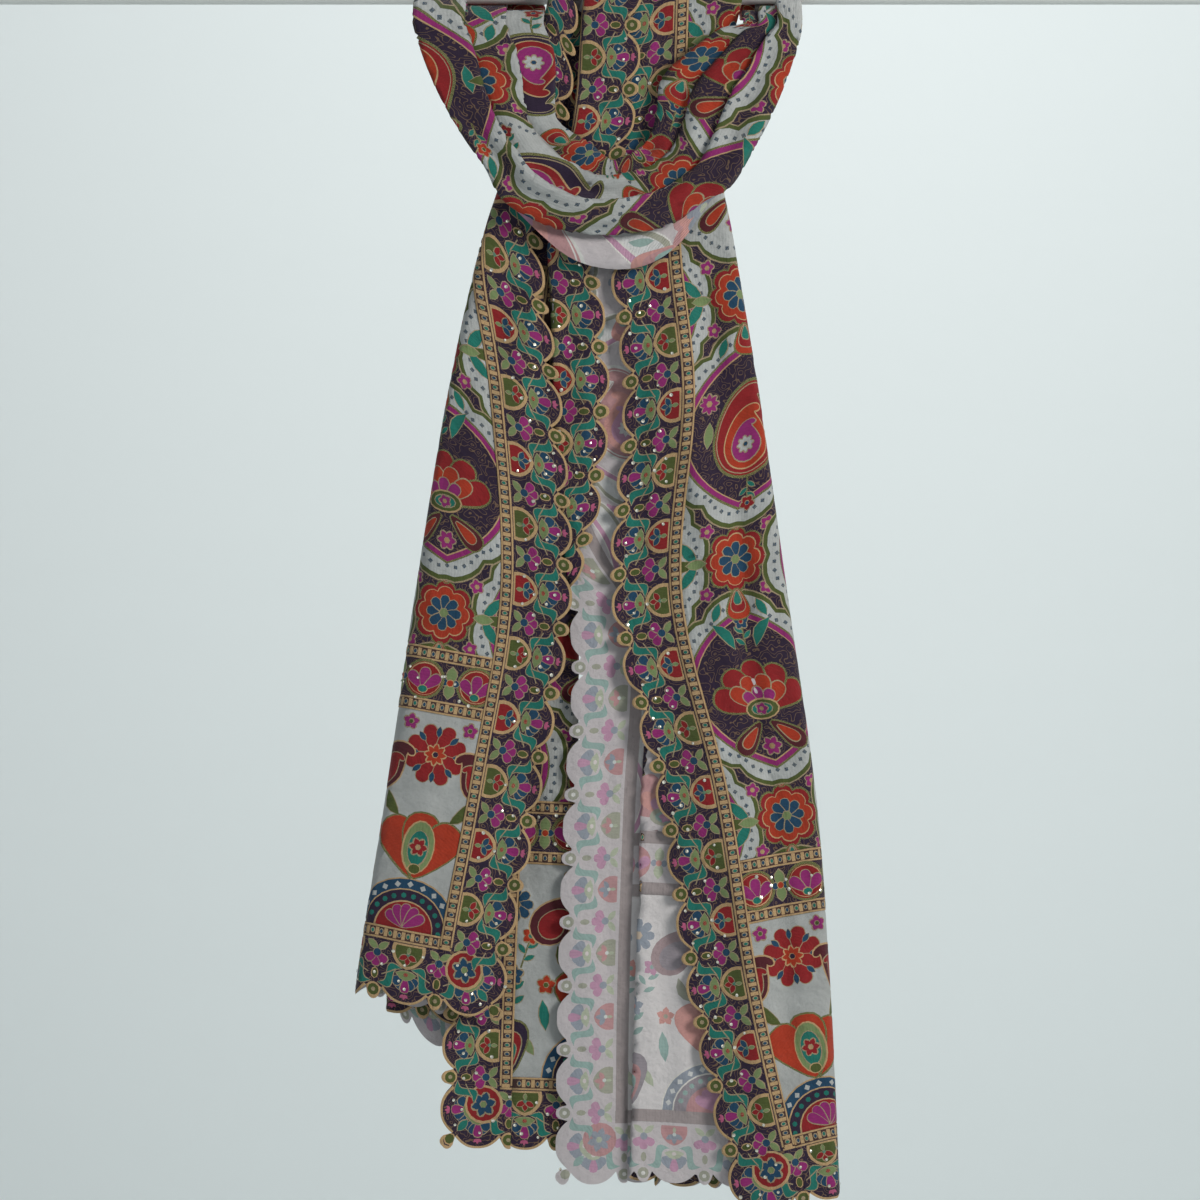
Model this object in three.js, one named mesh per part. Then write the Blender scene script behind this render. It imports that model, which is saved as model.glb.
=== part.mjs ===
// An embroidered dupatta, folded in half and hitched on a round rod.
//
// The rod's axis is X and the origin is its middle. Up is +Z and the front is -Y.
// The folded end crosses in front as a bight. Its two arms pass back under the rod, over it,
// and come down in front as two necks. They run behind the bight and hang as two pleated tails.

import * as THREE from "three";

// Driving dimensions in millimetres.
const ROD_RADIUS = 12.5;
const ROD_LENGTH = 1100;
const ROD_SIDES = 32;
const WALL = 1.2;
const SEAM = 0.3;
const BORDER = 64;
const CROSS_BAND = 56;
const END_PANEL = 188;
const SCALLOP_PITCH = 56;
const SCALLOP_DEPTH = 9;
const ROD_CLEARANCE = 1.5;

// The share of a layer's width that the rounding at each of its folds takes.
const TURN = 0.08;

// How far apart the upright lines stand that every layer is bent at, so that layers stay apart.
const UPRIGHT_PITCH = 31;

// Half the gap at a seam, as a share of the level that it ends.
const LEVEL_SEAM = 0.0006;
const BAND_SEAM = 0.2 / CROSS_BAND;

// Distances from the free edge of the lines that a side border is drawn through.
const BORDER_LINES = [BORDER, 57, 50, 43, 36, 29, 22, 16, SCALLOP_DEPTH + 1];

// Heights that the tables below are given at, from the rod line to the lowest hem.
const HEIGHTS = {
  rod: -10, clasp: -124, knot: -225, upper: -362, middle: -538, lower: -714, low: -890, hem: -1066,
};
const HEIGHT_LIST = Object.values(HEIGHTS);

// How far forward the first layer lies and how far apart layers one order apart are, at each height.
const FRONT_DEPTH = [-33.2, -34, -34, -32, -29, -27, -26, -25];
const LAYER_STEP = [2.4, 2.4, 2.5, 3.4, 4.2, 4.8, 5, 5];

// Each row is a free edge or a fold of a tail, in the order in which the cloth runs through them.
// x: where it stands at each of the heights. before, after: the depth order of the layer that
// arrives there and of the layer that leaves. hem: how low the scalloped hem reaches there.
const LEFT_TAIL = [
  { name: "front_edge", x: [-20, -30, -52, -36, -27, -55, -86, -91], before: 0, after: 0, hem: -908 },
  { name: "outer_fold", x: [-47, -73, -106, -136, -165, -191, -218, -230],
    before: 0, after: 5.2, hem: -884 },
  { name: "inner_fold", x: [-3, -24, -41, -41, -38, -41, -47, -48], before: 6, after: 7, hem: -930 },
  { name: "rear_fold", x: [-41, -68, -95, -126, -156, -180, -191, -195], before: 6.9, after: 8, hem: -902 },
  { name: "right_fold", x: [3, -20, -29, -25, -22, -22, -22, -23], before: 8, after: 5, hem: -1024 },
  { name: "back_edge", x: [-43, -68, -97, -112, -125, -133, -140, -145],
    before: 3.2, after: 3.2, hem: -1020 },
];
const RIGHT_TAIL = [
  { name: "front_edge", x: [11, 8, 4, 17, 7, 47, 75, 114], before: 0, after: 0, hem: -1084 },
  { name: "outer_fold", x: [122, 99, 114, 137, 162, 187, 200, 208], before: 0, after: 5.6, hem: -1062 },
  { name: "rear_fold", x: [33, 33, 33, 33, 37, 41, 46, 46], before: 5.8, after: 4.8, hem: -1056 },
  { name: "inner_fold", x: [113, 90, 104, 127, 151, 176, 190, 198], before: 4.5, after: 2.2, hem: -1058 },
  { name: "tuck_fold", x: [33, 33, 33, 37, 37, 33, 28, 22], before: 1.2, after: 2.2, hem: -1048 },
  { name: "tuck_rear", x: [85, 77, 77, 81, 85, 90, 90, 85], before: 2.4, after: 3.4, hem: -1050 },
  { name: "back_edge", x: [-18, -24, -43, -41, -12, -27, -38, -42], before: 3.2, after: 3.2, hem: -1052 },
];

// The right tail's back edge is turned over to the front along its upper half.
// Each row: z the height, x where it turns, length the cloth past the turn, radius of the turn.
const TURNED_EDGE = [
  { z: -10, x: -11, length: 63, radius: 5.6 },
  { z: -124, x: -21, length: 66, radius: 5.6 },
  { z: -225, x: -43, length: 50, radius: 4.6 },
  { z: -274, x: -42, length: 54, radius: 3.6 },
  { z: -362, x: -41, length: 56, radius: 2.8 },
  { z: -450, x: -36, length: 46, radius: 3.2 },
  { z: -503, x: -27, length: 28, radius: 3.6 },
  { z: -538, x: -15, length: 9, radius: 4 },
  { z: -574, x: -15, length: 0.5, radius: 4 },
  { z: -626, x: -16, length: 0.5, radius: 4 },
  { z: -714, x: -27, length: 0.5, radius: 4 },
  { z: -890, x: -38, length: 0.5, radius: 4 },
  { z: -1066, x: -42, length: 0.5, radius: 4 },
];

// Soft vertical swells that all layers share. x_top and x_hem give the swell's line, from z_top
// to z_hem, half_width its reach to each side and height how far it comes forward.
const SWELLS = [
  { x_top: -72, x_hem: -150, z_top: -225, z_hem: -960, half_width: 32, height: 6 },
  { x_top: -92, x_hem: -190, z_top: -240, z_hem: -900, half_width: 28, height: 4 },
  { x_top: -62, x_hem: -112, z_top: -260, z_hem: -930, half_width: 28, height: -4 },
  { x_top: 52, x_hem: 168, z_top: -235, z_hem: -1080, half_width: 32, height: 7 },
  { x_top: 92, x_hem: 190, z_top: -225, z_hem: -1060, half_width: 28, height: -4 },
  { x_top: 24, x_hem: 66, z_top: -300, z_hem: -1060, half_width: 28, height: -5 },
  { x_top: -20, x_hem: -20, z_top: -420, z_hem: -1060, half_width: 30, height: 4 },
];

// Stations of the ribbon that the bight makes, from the left bend to the right one. Each gives
// its outer edge, its inner edge and how far forward its first layer lies.
const BIGHT = [
  { outer: [-165, -39], inner: [-56, -39], depth: -56 },
  { outer: [-156, -68], inner: [-49, -63], depth: -57 },
  { outer: [-141, -103], inner: [-47, -94], depth: -58 },
  { outer: [-121, -137], inner: [-41, -117], depth: -60 },
  { outer: [-101, -166], inner: [-31, -129], depth: -61 },
  { outer: [-89, -190], inner: [-18, -136], depth: -62 },
  { outer: [-64, -207], inner: [-6, -145], depth: -63 },
  { outer: [-33, -219], inner: [2, -152], depth: -64 },
  { outer: [-3, -222], inner: [8, -156], depth: -64 },
  { outer: [32, -220], inner: [17, -153], depth: -64 },
  { outer: [63, -211], inner: [27, -148], depth: -63 },
  { outer: [90, -191], inner: [36, -142], depth: -62 },
  { outer: [110, -181], inner: [43, -129], depth: -61 },
  { outer: [129, -151], inner: [47, -107], depth: -60 },
  { outer: [147, -117], inner: [52, -82], depth: -59 },
  { outer: [161, -82], inner: [81, -60], depth: -58 },
  { outer: [170, -54], inner: [108, -42], depth: -57 },
  { outer: [172, -39], inner: [126, -38], depth: -56 },
];

// Folds of the ribbon. across: how far from the outer edge (0) to the inner edge (1), on the arms
// and at the middle of the bight. before, after: depth orders, as in the tails.
const RIBBON_FOLDS = [
  { name: "hidden_edge", arm: 0.3, middle: 0.3, before: 0.9, after: 0.9 },
  { name: "outer_fold", arm: 0, middle: 0, before: 0.9, after: 0 },
  { name: "first_pleat", arm: 0.4, middle: 0.46, before: 0, after: 1.8 },
  { name: "first_under", arm: 0.1, middle: 0.14, before: 1.8, after: 2.7 },
  { name: "second_pleat", arm: 0.72, middle: 0.78, before: 2.7, after: 3.6 },
  { name: "second_under", arm: 0.42, middle: 0.46, before: 3.6, after: 4.5 },
  { name: "inner_fold", arm: 1, middle: 1, before: 4.5, after: 5.4 },
  { name: "sagging_edge", arm: -0.02, middle: -0.44, before: 5.4, after: 5.4 },
];
const RIBBON_STEP = 2.2;
const RIBBON_CROWN = 5;

// How many stations to each side of the middle the sagging edge reaches.
const SAG_REACH = 3.2;

// The station where an arm ends and the band starts, and half the gap there in stations.
const ARM_END = 12;
const STATION_SEAM = 0.02;

// Where each tail's layers have spread to behind the rod, and how far apart they lie there.
const WRAP_BACK = { left: { outer: -165, inner: -53 }, right: { outer: 174, inner: 124 } };
const WRAP_BACK_STEP = 1.9;

const IVORY = 0xd7dedc;
const PURPLE = 0x3c1e4b;
const LILAC = 0x7a5a8c;
const ROD_GREY = 0xb9bdb6;

const lerp = (a, b, f) => a + (b - a) * f;
const clamp01 = (f) => Math.min(1, Math.max(0, f));
const ease = (f) => clamp01(f) ** 2 * (3 - 2 * clamp01(f));

// A smooth curve through values given at places that run steadily up or down.
function curveThrough(places, values, at) {
  const rising = places[places.length - 1] > places[0];
  const last = places.length - 1;
  let k = 0;
  while (k < last - 1 && (rising ? at > places[k + 1] : at < places[k + 1])) k += 1;
  const slope = (i) => {
    const a = Math.max(0, i - 1);
    const b = Math.min(last, i + 1);
    return (values[b] - values[a]) / (places[b] - places[a]);
  };
  const width = places[k + 1] - places[k];
  const f = (at - places[k]) / width;
  if (f < 0) return values[0] + slope(0) * (at - places[0]);
  if (f > 1) return values[last] + slope(last) * (at - places[last]);
  const f2 = f * f;
  const f3 = f2 * f;
  return (2 * f3 - 3 * f2 + 1) * values[k] + (f3 - 2 * f2 + f) * width * slope(k)
    + (3 * f2 - 2 * f3) * values[k + 1] + (f3 - f2) * width * slope(k + 1);
}

const atHeight = (values, z) => curveThrough(HEIGHT_LIST, values, z);
const turnedEdge = (key, z) => curveThrough(
  TURNED_EDGE.map((row) => row.z), TURNED_EDGE.map((row) => row[key]), z);

// How far all layers are moved back at a place, so a swell is negative.
function swell(x, z) {
  let sum = 0;
  for (const row of SWELLS) {
    const f = clamp01((row.z_top - z) / (row.z_top - row.z_hem));
    const off = (x - lerp(row.x_top, row.x_hem, f)) / row.half_width;
    sum -= row.height * ease((row.z_top - z) / 160) * Math.exp(-off * off);
  }
  return sum;
}

const layerDepth = (z, order) => atHeight(FRONT_DEPTH, z) + order * atHeight(LAYER_STEP, z);

// Depth of the scalloped edge below its lobes' tips, with a round lobe and a pointed one a pitch.
function scallop(along, pitch = SCALLOP_PITCH) {
  const place = (((along / pitch) % 1) + 1) % 1;
  const off = Math.abs((place % 0.5) - 0.25) * 4;
  const round = 1 - Math.sqrt(1 - off * off);
  const pointed = off ** 1.2 * (1.7 - 0.7 * off);
  return SCALLOP_DEPTH * (place < 0.5 ? round : pointed);
}

// A tail's levels: -1 at the rod line, 0 at the knot, 1 where the cross band starts, 2 where the
// end panel starts, 3 where the hem border starts and 4 at the hem.
const LEVEL_ABOVE_HEM = [BORDER + END_PANEL + CROSS_BAND, BORDER + END_PANEL, BORDER, 0];
function levelHeight(row, level) {
  if (level < 0) return lerp(HEIGHTS.knot, HEIGHTS.rod, -level);
  if (level < 1) return lerp(HEIGHTS.knot, row.hem + LEVEL_ABOVE_HEM[0], level);
  const k = Math.min(2, Math.floor(level) - 1);
  return row.hem + lerp(LEVEL_ABOVE_HEM[k], LEVEL_ABOVE_HEM[k + 1], level - 1 - k);
}

// The level at a distance above the hem, measured down one edge or fold.
function levelAbove(row, above) {
  const z = row.hem + above;
  if (z > HEIGHTS.knot) return -(z - HEIGHTS.knot) / (HEIGHTS.rod - HEIGHTS.knot);
  if (above > LEVEL_ABOVE_HEM[0]) {
    return (HEIGHTS.knot - z) / (HEIGHTS.knot - row.hem - LEVEL_ABOVE_HEM[0]);
  }
  const k = LEVEL_ABOVE_HEM.findIndex((limit, i) => i > 0 && above >= limit) - 1;
  const from = LEVEL_ABOVE_HEM[Math.max(0, k)];
  const to = LEVEL_ABOVE_HEM[Math.max(0, k) + 1];
  return 1 + Math.max(0, k) + (from - above) / (from - to);
}

// Points of a half turn at a fold, from the arriving layer to the leaving one.
function turnPoints(x, z, before, after, heading, index, steps) {
  const half = Math.abs(after - before) / 2;
  const reach = Math.min(half, 6);
  const points = [];
  for (let i = 1; i < steps; i += 1) {
    const angle = Math.PI * (i / steps);
    points.push({
      x: x - heading * reach * (1 - Math.sin(angle)),
      y: lerp(before, after, (1 - Math.cos(angle)) / 2),
      z,
      place: index + TURN * (2 * (i / steps) - 1),
    });
  }
  return points;
}

// The line that the cloth follows across a tail at one level, as points with their place, a
// number that is whole at each fold.
function tailSection(tail, level) {
  const rows = tail.rows.map((row) => {
    const z = levelHeight(row, level);
    return {
      x: atHeight(row.x, z),
      z,
      before: layerDepth(z, row.before),
      after: layerDepth(z, row.after),
    };
  });
  const last = rows.length - 1;
  const turned = tail.turnedEdge;
  if (turned) rows[last].x = turnedEdge("x", rows[last].z);
  const points = [];
  for (let j = 0; j < last; j += 1) {
    const from = rows[j];
    const to = rows[j + 1];
    const heading = Math.sign(to.x - from.x);
    const fromReach = j > 0 ? Math.min(Math.abs(from.after - from.before) / 2, 6) : 0;
    const toReach = j + 1 < last ? Math.min(Math.abs(to.after - to.before) / 2, 6) : 0;
    const start = from.x + heading * fromReach;
    const end = to.x - heading * toReach;
    const layerSteps = 12;
    for (let i = 0; i <= layerSteps; i += 1) {
      const f = i / layerSteps;
      points.push({
        x: lerp(start, end, f),
        y: lerp(from.after, to.before, f),
        z: lerp(from.z, to.z, f),
        place: j + lerp(j > 0 ? TURN : 0, j + 1 < last ? 1 - TURN : 1, f),
      });
    }
    if (j + 1 < last) points.push(...turnPoints(to.x, to.z, to.before, to.after, heading, j + 1, 8));
  }
  if (turned) points.push(...turnedEdgePoints(rows[last], last));
  for (const point of points) point.y += swell(point.x, point.z);
  return measured(points);
}

// The cloth past the turn of a turned-over edge: round the turn, then flat to the free edge.
function turnedEdgePoints(row, index) {
  const length = turnedEdge("length", row.z);
  const radius = turnedEdge("radius", row.z);
  const round = Math.min(length, Math.PI * radius);
  const flat = length - round;
  const points = [];
  const steps = 10;
  for (let i = 1; i <= steps; i += 1) {
    const angle = (round * i) / steps / radius;
    points.push({
      x: row.x - radius * Math.sin(angle),
      y: row.before - radius * (1 - Math.cos(angle)),
      z: row.z,
      place: index + 0.5 * (i / steps),
    });
  }
  const end = points[points.length - 1];
  for (let i = 1; i <= 6 && flat > 0.01; i += 1) {
    points.push({ x: end.x + (flat * i) / 6, y: end.y, z: row.z, place: index + 0.5 + i / 12 });
  }
  return points;
}

// Adds to each point its length along the section.
function measured(points) {
  let length = 0;
  points[0].length = 0;
  for (let i = 1; i < points.length; i += 1) {
    const a = points[i - 1];
    const b = points[i];
    length += Math.hypot(b.x - a.x, b.y - a.y, b.z - a.z);
    b.length = length;
  }
  return points;
}

// The point of a section where a key, place or length, has a value.
function pointWhere(section, key, value) {
  let lo = 0;
  let hi = section.length - 1;
  while (hi - lo > 1) {
    const mid = (lo + hi) >> 1;
    if (section[mid][key] <= value) lo = mid;
    else hi = mid;
  }
  const a = section[lo];
  const b = section[hi];
  const f = (value - a[key]) / Math.max(1e-9, b[key] - a[key]);
  const mix = (name) => lerp(a[name], b[name], f);
  return { x: mix("x"), y: mix("y"), z: mix("z"), place: mix("place"), length: mix("length") };
}

class Tail {
  constructor(rows, turned) {
    this.rows = rows;
    this.turnedEdge = turned;
    this.sections = new Map();
  }

  section(level) {
    const key = Math.round(level * 1e6);
    if (!this.sections.has(key)) this.sections.set(key, tailSection(this, key / 1e6));
    return this.sections.get(key);
  }

  width(level) {
    return this.section(level).at(-1).length;
  }

  // The middle of the wall at a length across and a level.
  at(length, level) {
    const p = pointWhere(this.section(level), "length", length);
    return new THREE.Vector3(p.x, p.y, p.z);
  }

  // The same from the last row's edge.
  fromEnd(length, level) {
    return this.at(this.width(level) - length, level);
  }
}

// A point of the cloth with its normal, from a function of two numbers that gives its middle.
function clothPoint(surface, u, v, du, dv, param) {
  const across = surface(u + du, v).sub(surface(u - du, v));
  const along = surface(u, v + dv).sub(surface(u, v - dv));
  return { middle: surface(u, v), normal: across.cross(along).normalize(), param };
}

// Triangles that join two lines of points, stepping along whichever is behind.
function zip(lineA, lineB, startA, startB, triangles) {
  let a = 0;
  let b = 0;
  while (a < lineA.length - 1 || b < lineB.length - 1) {
    const nextA = a < lineA.length - 1 ? lineA[a + 1].param : Infinity;
    const nextB = b < lineB.length - 1 ? lineB[b + 1].param : Infinity;
    if (nextA <= nextB) {
      triangles.push([startA + a, startA + a + 1, startB + b]);
      a += 1;
    } else {
      triangles.push([startA + a, startB + b + 1, startB + b]);
      b += 1;
    }
  }
}

// A closed wall of cloth over lines of points that run side by side.
function clothGeometry(lines) {
  const points = lines.flat();
  const starts = [];
  let count = 0;
  for (const line of lines) {
    starts.push(count);
    count += line.length;
  }
  const triangles = [];
  for (let i = 0; i + 1 < lines.length; i += 1) {
    zip(lines[i], lines[i + 1], starts[i], starts[i + 1], triangles);
  }
  const lastLine = lines.length - 1;
  const rim = [
    ...lines[0].map((_, i) => i),
    ...lines.slice(1, lastLine).map((line, i) => starts[i + 1] + line.length - 1),
    ...lines[lastLine].map((_, i) => starts[lastLine] + i).reverse(),
    ...lines.slice(1, lastLine).map((_, i) => starts[i + 1]).reverse(),
  ];
  const positions = [];
  for (const side of [1, -1]) {
    for (const { middle, normal } of points) {
      positions.push(...middle.clone().addScaledVector(normal, (side * WALL) / 2).toArray());
    }
  }
  const indices = [];
  for (const [a, b, c] of triangles) indices.push(a, b, c, count + a, count + c, count + b);
  for (let i = 0; i < rim.length; i += 1) {
    const a = rim[i];
    const b = rim[(i + 1) % rim.length];
    indices.push(b, a, count + a, b, count + a, count + b);
  }
  const geometry = new THREE.BufferGeometry();
  geometry.setAttribute("position", new THREE.Float32BufferAttribute(positions, 3));
  geometry.setIndex(indices);
  return facingOut(geometry);
}

// Turns a closed geometry's faces outward, judged by the sign of its volume.
function facingOut(geometry) {
  const at = geometry.getAttribute("position");
  const index = geometry.getIndex();
  const [a, b, c] = [new THREE.Vector3(), new THREE.Vector3(), new THREE.Vector3()];
  let volume = 0;
  for (let i = 0; i < index.count; i += 3) {
    a.fromBufferAttribute(at, index.getX(i));
    b.fromBufferAttribute(at, index.getX(i + 1));
    c.fromBufferAttribute(at, index.getX(i + 2));
    volume += a.dot(b.cross(c));
  }
  if (volume < 0) {
    for (let i = 0; i < index.count; i += 3) {
      const kept = index.getX(i + 1);
      index.setX(i + 1, index.getX(i + 2));
      index.setX(i + 2, kept);
    }
  }
  geometry.computeVertexNormals();
  return geometry;
}

// Places across a tail at its free edges and at the rounding of each fold.
function foldPlaces(rowCount) {
  const places = [0];
  for (let j = 1; j < rowCount - 1; j += 1) places.push(j - TURN, j, j + TURN);
  places.push(rowCount - 1);
  return places;
}

// Places where a section passes the upright lines that all layers are bent at.
function uprightPlaces(section) {
  const places = [];
  for (let i = 1; i < section.length; i += 1) {
    const a = section[i - 1];
    const b = section[i];
    const upright = UPRIGHT_PITCH * Math.ceil(Math.min(a.x, b.x) / UPRIGHT_PITCH);
    const farFromFold = Math.abs(a.place - Math.round(a.place)) > 1.5 * TURN;
    if (upright < Math.max(a.x, b.x) && farFromFold) {
      places.push(lerp(a.place, b.place, (upright - a.x) / (b.x - a.x)));
    }
  }
  return places;
}

// Lines across a tail, one for each level, that stop short of its free edges by an inset.
function tailRows(tail, levels, inset = BORDER + SEAM) {
  return levels.map((level) => {
    const section = tail.section(level);
    const places = [...foldPlaces(tail.rows.length), ...uprightPlaces(section)].sort((a, b) => a - b);
    const first = inset;
    const last = tail.width(level) - inset;
    const lengths = places.map((place) => pointWhere(section, "place", place).length)
      .filter((length) => length > first + 2 && length < last - 2);
    const surface = (length, at) => tail.at(length, at);
    return [first, ...lengths, last].map((length) => {
      const place = pointWhere(section, "length", length).place;
      return clothPoint(surface, length, level, 0.4, 0.002, place);
    });
  });
}

const evenly = (from, to, steps) => Array.from({ length: steps + 1 }, (_, i) => lerp(from, to, i / steps));

// Levels that the rows of a tail's pieces stand at, so that rows meet at the seams.
const FIELD_LEVELS = evenly(LEVEL_SEAM, 1 - LEVEL_SEAM, 9);
const PANEL_LEVELS = evenly(2 + BAND_SEAM, 3 - BAND_SEAM, 4);
const BORDER_LEVELS = [...FIELD_LEVELS, ...PANEL_LEVELS, 3.5];

// The hem border between the side borders, with its scalloped lower edge.
function hemRows(tail) {
  const level = (above) => 4 - above / BORDER;
  const insets = [BORDER - 0.2, SCALLOP_DEPTH + 16, SCALLOP_DEPTH + 1];
  const rows = tailRows(tail, insets.map(level));
  const width = tail.width(4);
  const pitch = width / Math.round(width / SCALLOP_PITCH);
  const count = Math.round(width / pitch) * 8;
  const section = tail.section(4);
  const stops = [BORDER + SEAM, width - BORDER - SEAM];
  for (let i = 0; i <= count; i += 1) {
    const length = (i * pitch) / 8;
    if (length > BORDER + SEAM + 2 && length < width - BORDER - SEAM - 2) stops.push(length);
  }
  stops.sort((a, b) => a - b);
  rows.push(stops.map((length) => {
    const lowered = level(scallop(length, pitch));
    const across = (length / width) * tail.width(lowered);
    const place = pointWhere(section, "length", length).place;
    return clothPoint((u, v) => tail.at(u, v), across, lowered, 0.4, 0.002, place);
  }));
  return rows;
}

// A side border from the knot to the hem, with scallops down its free edge.
// insets are the distances from the free edge of its lines.
function sideBorder(tail, end, insets) {
  const edge = end ? tail.rows.at(-1) : tail.rows[0];
  const surface = (inset, above) => {
    const level = levelAbove(edge, above);
    return end ? tail.fromEnd(inset, level) : tail.at(inset, level);
  };
  const hemWidth = tail.width(4);
  const hemPitch = hemWidth / Math.round(hemWidth / SCALLOP_PITCH);
  const top = levelHeight(edge, LEVEL_SEAM) - edge.hem;
  const rows = BORDER_LEVELS.map((level) => levelHeight(edge, level) - edge.hem).reverse();
  const lines = insets.map((inset) => {
    const low = scallop(inset, hemPitch);
    return [low, ...rows].map((above) => clothPoint(surface, inset, above, 0.4, 0.4, above));
  });
  const edgeLine = [];
  const step = SCALLOP_PITCH / 8;
  for (let above = step * 0.75; above < top - 2; above += step) {
    const inset = scallop(above) + 0.02;
    edgeLine.push(clothPoint(surface, inset, above, -0.01, 0.4, above));
  }
  edgeLine.push(clothPoint(surface, scallop(top) + 0.02, top, -0.01, 0.4, top));
  for (const point of edgeLine) point.normal.negate();
  return [...lines, edgeLine];
}

const group = new THREE.Group();

function addMesh(name, geometry, color, roughness = 0.85) {
  const mesh = new THREE.Mesh(geometry, new THREE.MeshStandardMaterial({ color, roughness }));
  mesh.name = name;
  group.add(mesh);
  return mesh;
}

// The neck, the hanging field, the cross band, the end panel and the borders of one tail.
function addTail(side, tail) {
  const field = (name, levels, color) => {
    addMesh(`${name}_${side}`, clothGeometry(tailRows(tail, levels)), color);
  };
  addMesh(`neck_${side}`, clothGeometry(tailRows(tail, evenly(-1, -LEVEL_SEAM, 4), 0.05)), IVORY);
  field("field", FIELD_LEVELS, IVORY);
  field("cross_band", [1 + BAND_SEAM, 2 - BAND_SEAM], PURPLE);
  field("end_panel", PANEL_LEVELS, IVORY);
  addMesh(`hem_border_${side}`, clothGeometry(hemRows(tail)), PURPLE);
  addMesh(`front_border_${side}`, clothGeometry(sideBorder(tail, false, BORDER_LINES)), PURPLE);
  addMesh(`back_border_${side}`, clothGeometry(sideBorder(tail, true, BORDER_LINES)), LILAC);
}

const leftTail = new Tail(LEFT_TAIL, false);
const rightTail = new Tail(RIGHT_TAIL, true);
addTail("left", leftTail);
addTail("right", rightTail);

// The cloth over the rod carries a neck's layers from the rod line in front, over the top and
// down to the rod's height behind, where it has spread and moved out to the arm's width.
function wrapPoint(tail, spread, place, turn) {
  const front = pointWhere(tail.section(-1), "place", place);
  const radiusFront = -front.y;
  const innermost = ROD_RADIUS + ROD_CLEARANCE;
  const moved = ease(turn);
  const radius = innermost + (radiusFront - innermost) * lerp(1, WRAP_BACK_STEP / LAYER_STEP[0], moved);
  const section = tail.section(-1);
  const xs = section.map((point) => point.x);
  const low = Math.min(...xs);
  const high = Math.max(...xs);
  const share = (front.x - low) / (high - low);
  const backX = lerp(Math.min(spread.outer, spread.inner), Math.max(spread.outer, spread.inner), share);
  const x = lerp(front.x, backX, moved);
  const rise = -HEIGHTS.rod;
  const path = turn * (rise + Math.PI * radius);
  if (path < rise) return new THREE.Vector3(x, -radius, HEIGHTS.rod + path);
  const angle = (path - rise) / radius;
  return new THREE.Vector3(x, -radius * Math.cos(angle), radius * Math.sin(angle));
}

function wrapLines(tail, spread) {
  const places = foldPlaces(tail.rows.length);
  if (tail.turnedEdge) places.push(places.at(-1) + 0.25, places.at(-1) + 0.5, places.at(-1) + 0.98);
  const surface = (place, turn) => wrapPoint(tail, spread, place, turn);
  return evenly(0.006, 1, 9).map((turn) => places.map((place) => (
    clothPoint(surface, place, turn, 0.004, 0.004, place))));
}

// The ribbon's stations, in order from behind the rod on the left to behind it on the right.
// Each has an outer and an inner corner, the way its layers stack and how much it sags.
function ribbonStations() {
  const bend = (end, order) => {
    const radius = ROD_RADIUS + ROD_CLEARANCE;
    const under = [1.5, 30, 60, 90].map((degrees) => {
      const angle = THREE.MathUtils.degToRad(degrees);
      return { y: radius * Math.cos(angle), z: -radius * Math.sin(angle), angle };
    });
    const over = [0, 30, 60].map((degrees) => {
      const angle = THREE.MathUtils.degToRad(degrees);
      const bendRadius = 25;
      const centre = { y: end.depth + bendRadius, z: -radius - bendRadius };
      return {
        y: centre.y - bendRadius * Math.sin(angle),
        z: centre.z + bendRadius * Math.cos(angle),
        angle: Math.PI / 2 - angle,
      };
    });
    const list = [...under, ...over].map(({ y, z, angle }) => ({
      outer: [end.outer[0], y, z],
      inner: [end.inner[0], y, z],
      stack: [0, Math.cos(angle), -Math.sin(angle)],
      crown: 0,
    }));
    return order > 0 ? list : list.reverse();
  };
  const front = BIGHT.map((row, i) => ({
    outer: [row.outer[0], row.depth, row.outer[1]],
    inner: [row.inner[0], row.depth, row.inner[1]],
    stack: [0, 1, 0],
    crown: RIBBON_CROWN * ease(Math.min(i, BIGHT.length - 1 - i) / 3),
  }));
  return [...bend(BIGHT[0], 1), ...front, ...bend(BIGHT.at(-1), -1)];
}

const STATIONS = ribbonStations();
const STATION_LIST = STATIONS.map((_, i) => i);
const stationValue = (key, axis, at) => (
  curveThrough(STATION_LIST, STATIONS.map((station) => station[key][axis]), at));

// The ribbon's section as points with how far across they are and their order.
function ribbonSection(at) {
  const middle = (STATIONS.length - 1) / 2;
  const sag = Math.exp(-(((at - middle) / SAG_REACH) ** 2));
  const rows = RIBBON_FOLDS.map((row) => ({ ...row, across: lerp(row.arm, row.middle, sag) }));
  const points = [];
  for (let j = 0; j + 1 < rows.length; j += 1) {
    const from = rows[j];
    const to = rows[j + 1];
    const heading = Math.sign(to.across - from.across);
    const reach = 0.012;
    const start = from.across + (j > 0 ? heading * reach : 0);
    const end = to.across - (j + 2 < rows.length ? heading * reach : 0);
    points.push({ across: start, order: from.after, place: j + (j > 0 ? TURN : 0) });
    points.push({ across: (start + end) / 2, order: (from.after + to.before) / 2, place: j + 0.5 });
    points.push({ across: end, order: to.before, place: j + 1 - (j + 2 < rows.length ? TURN : 0) });
    if (j + 2 < rows.length) {
      points.push({ across: to.across, order: (to.before + to.after) / 2, place: j + 1 });
    }
  }
  return points;
}

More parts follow.
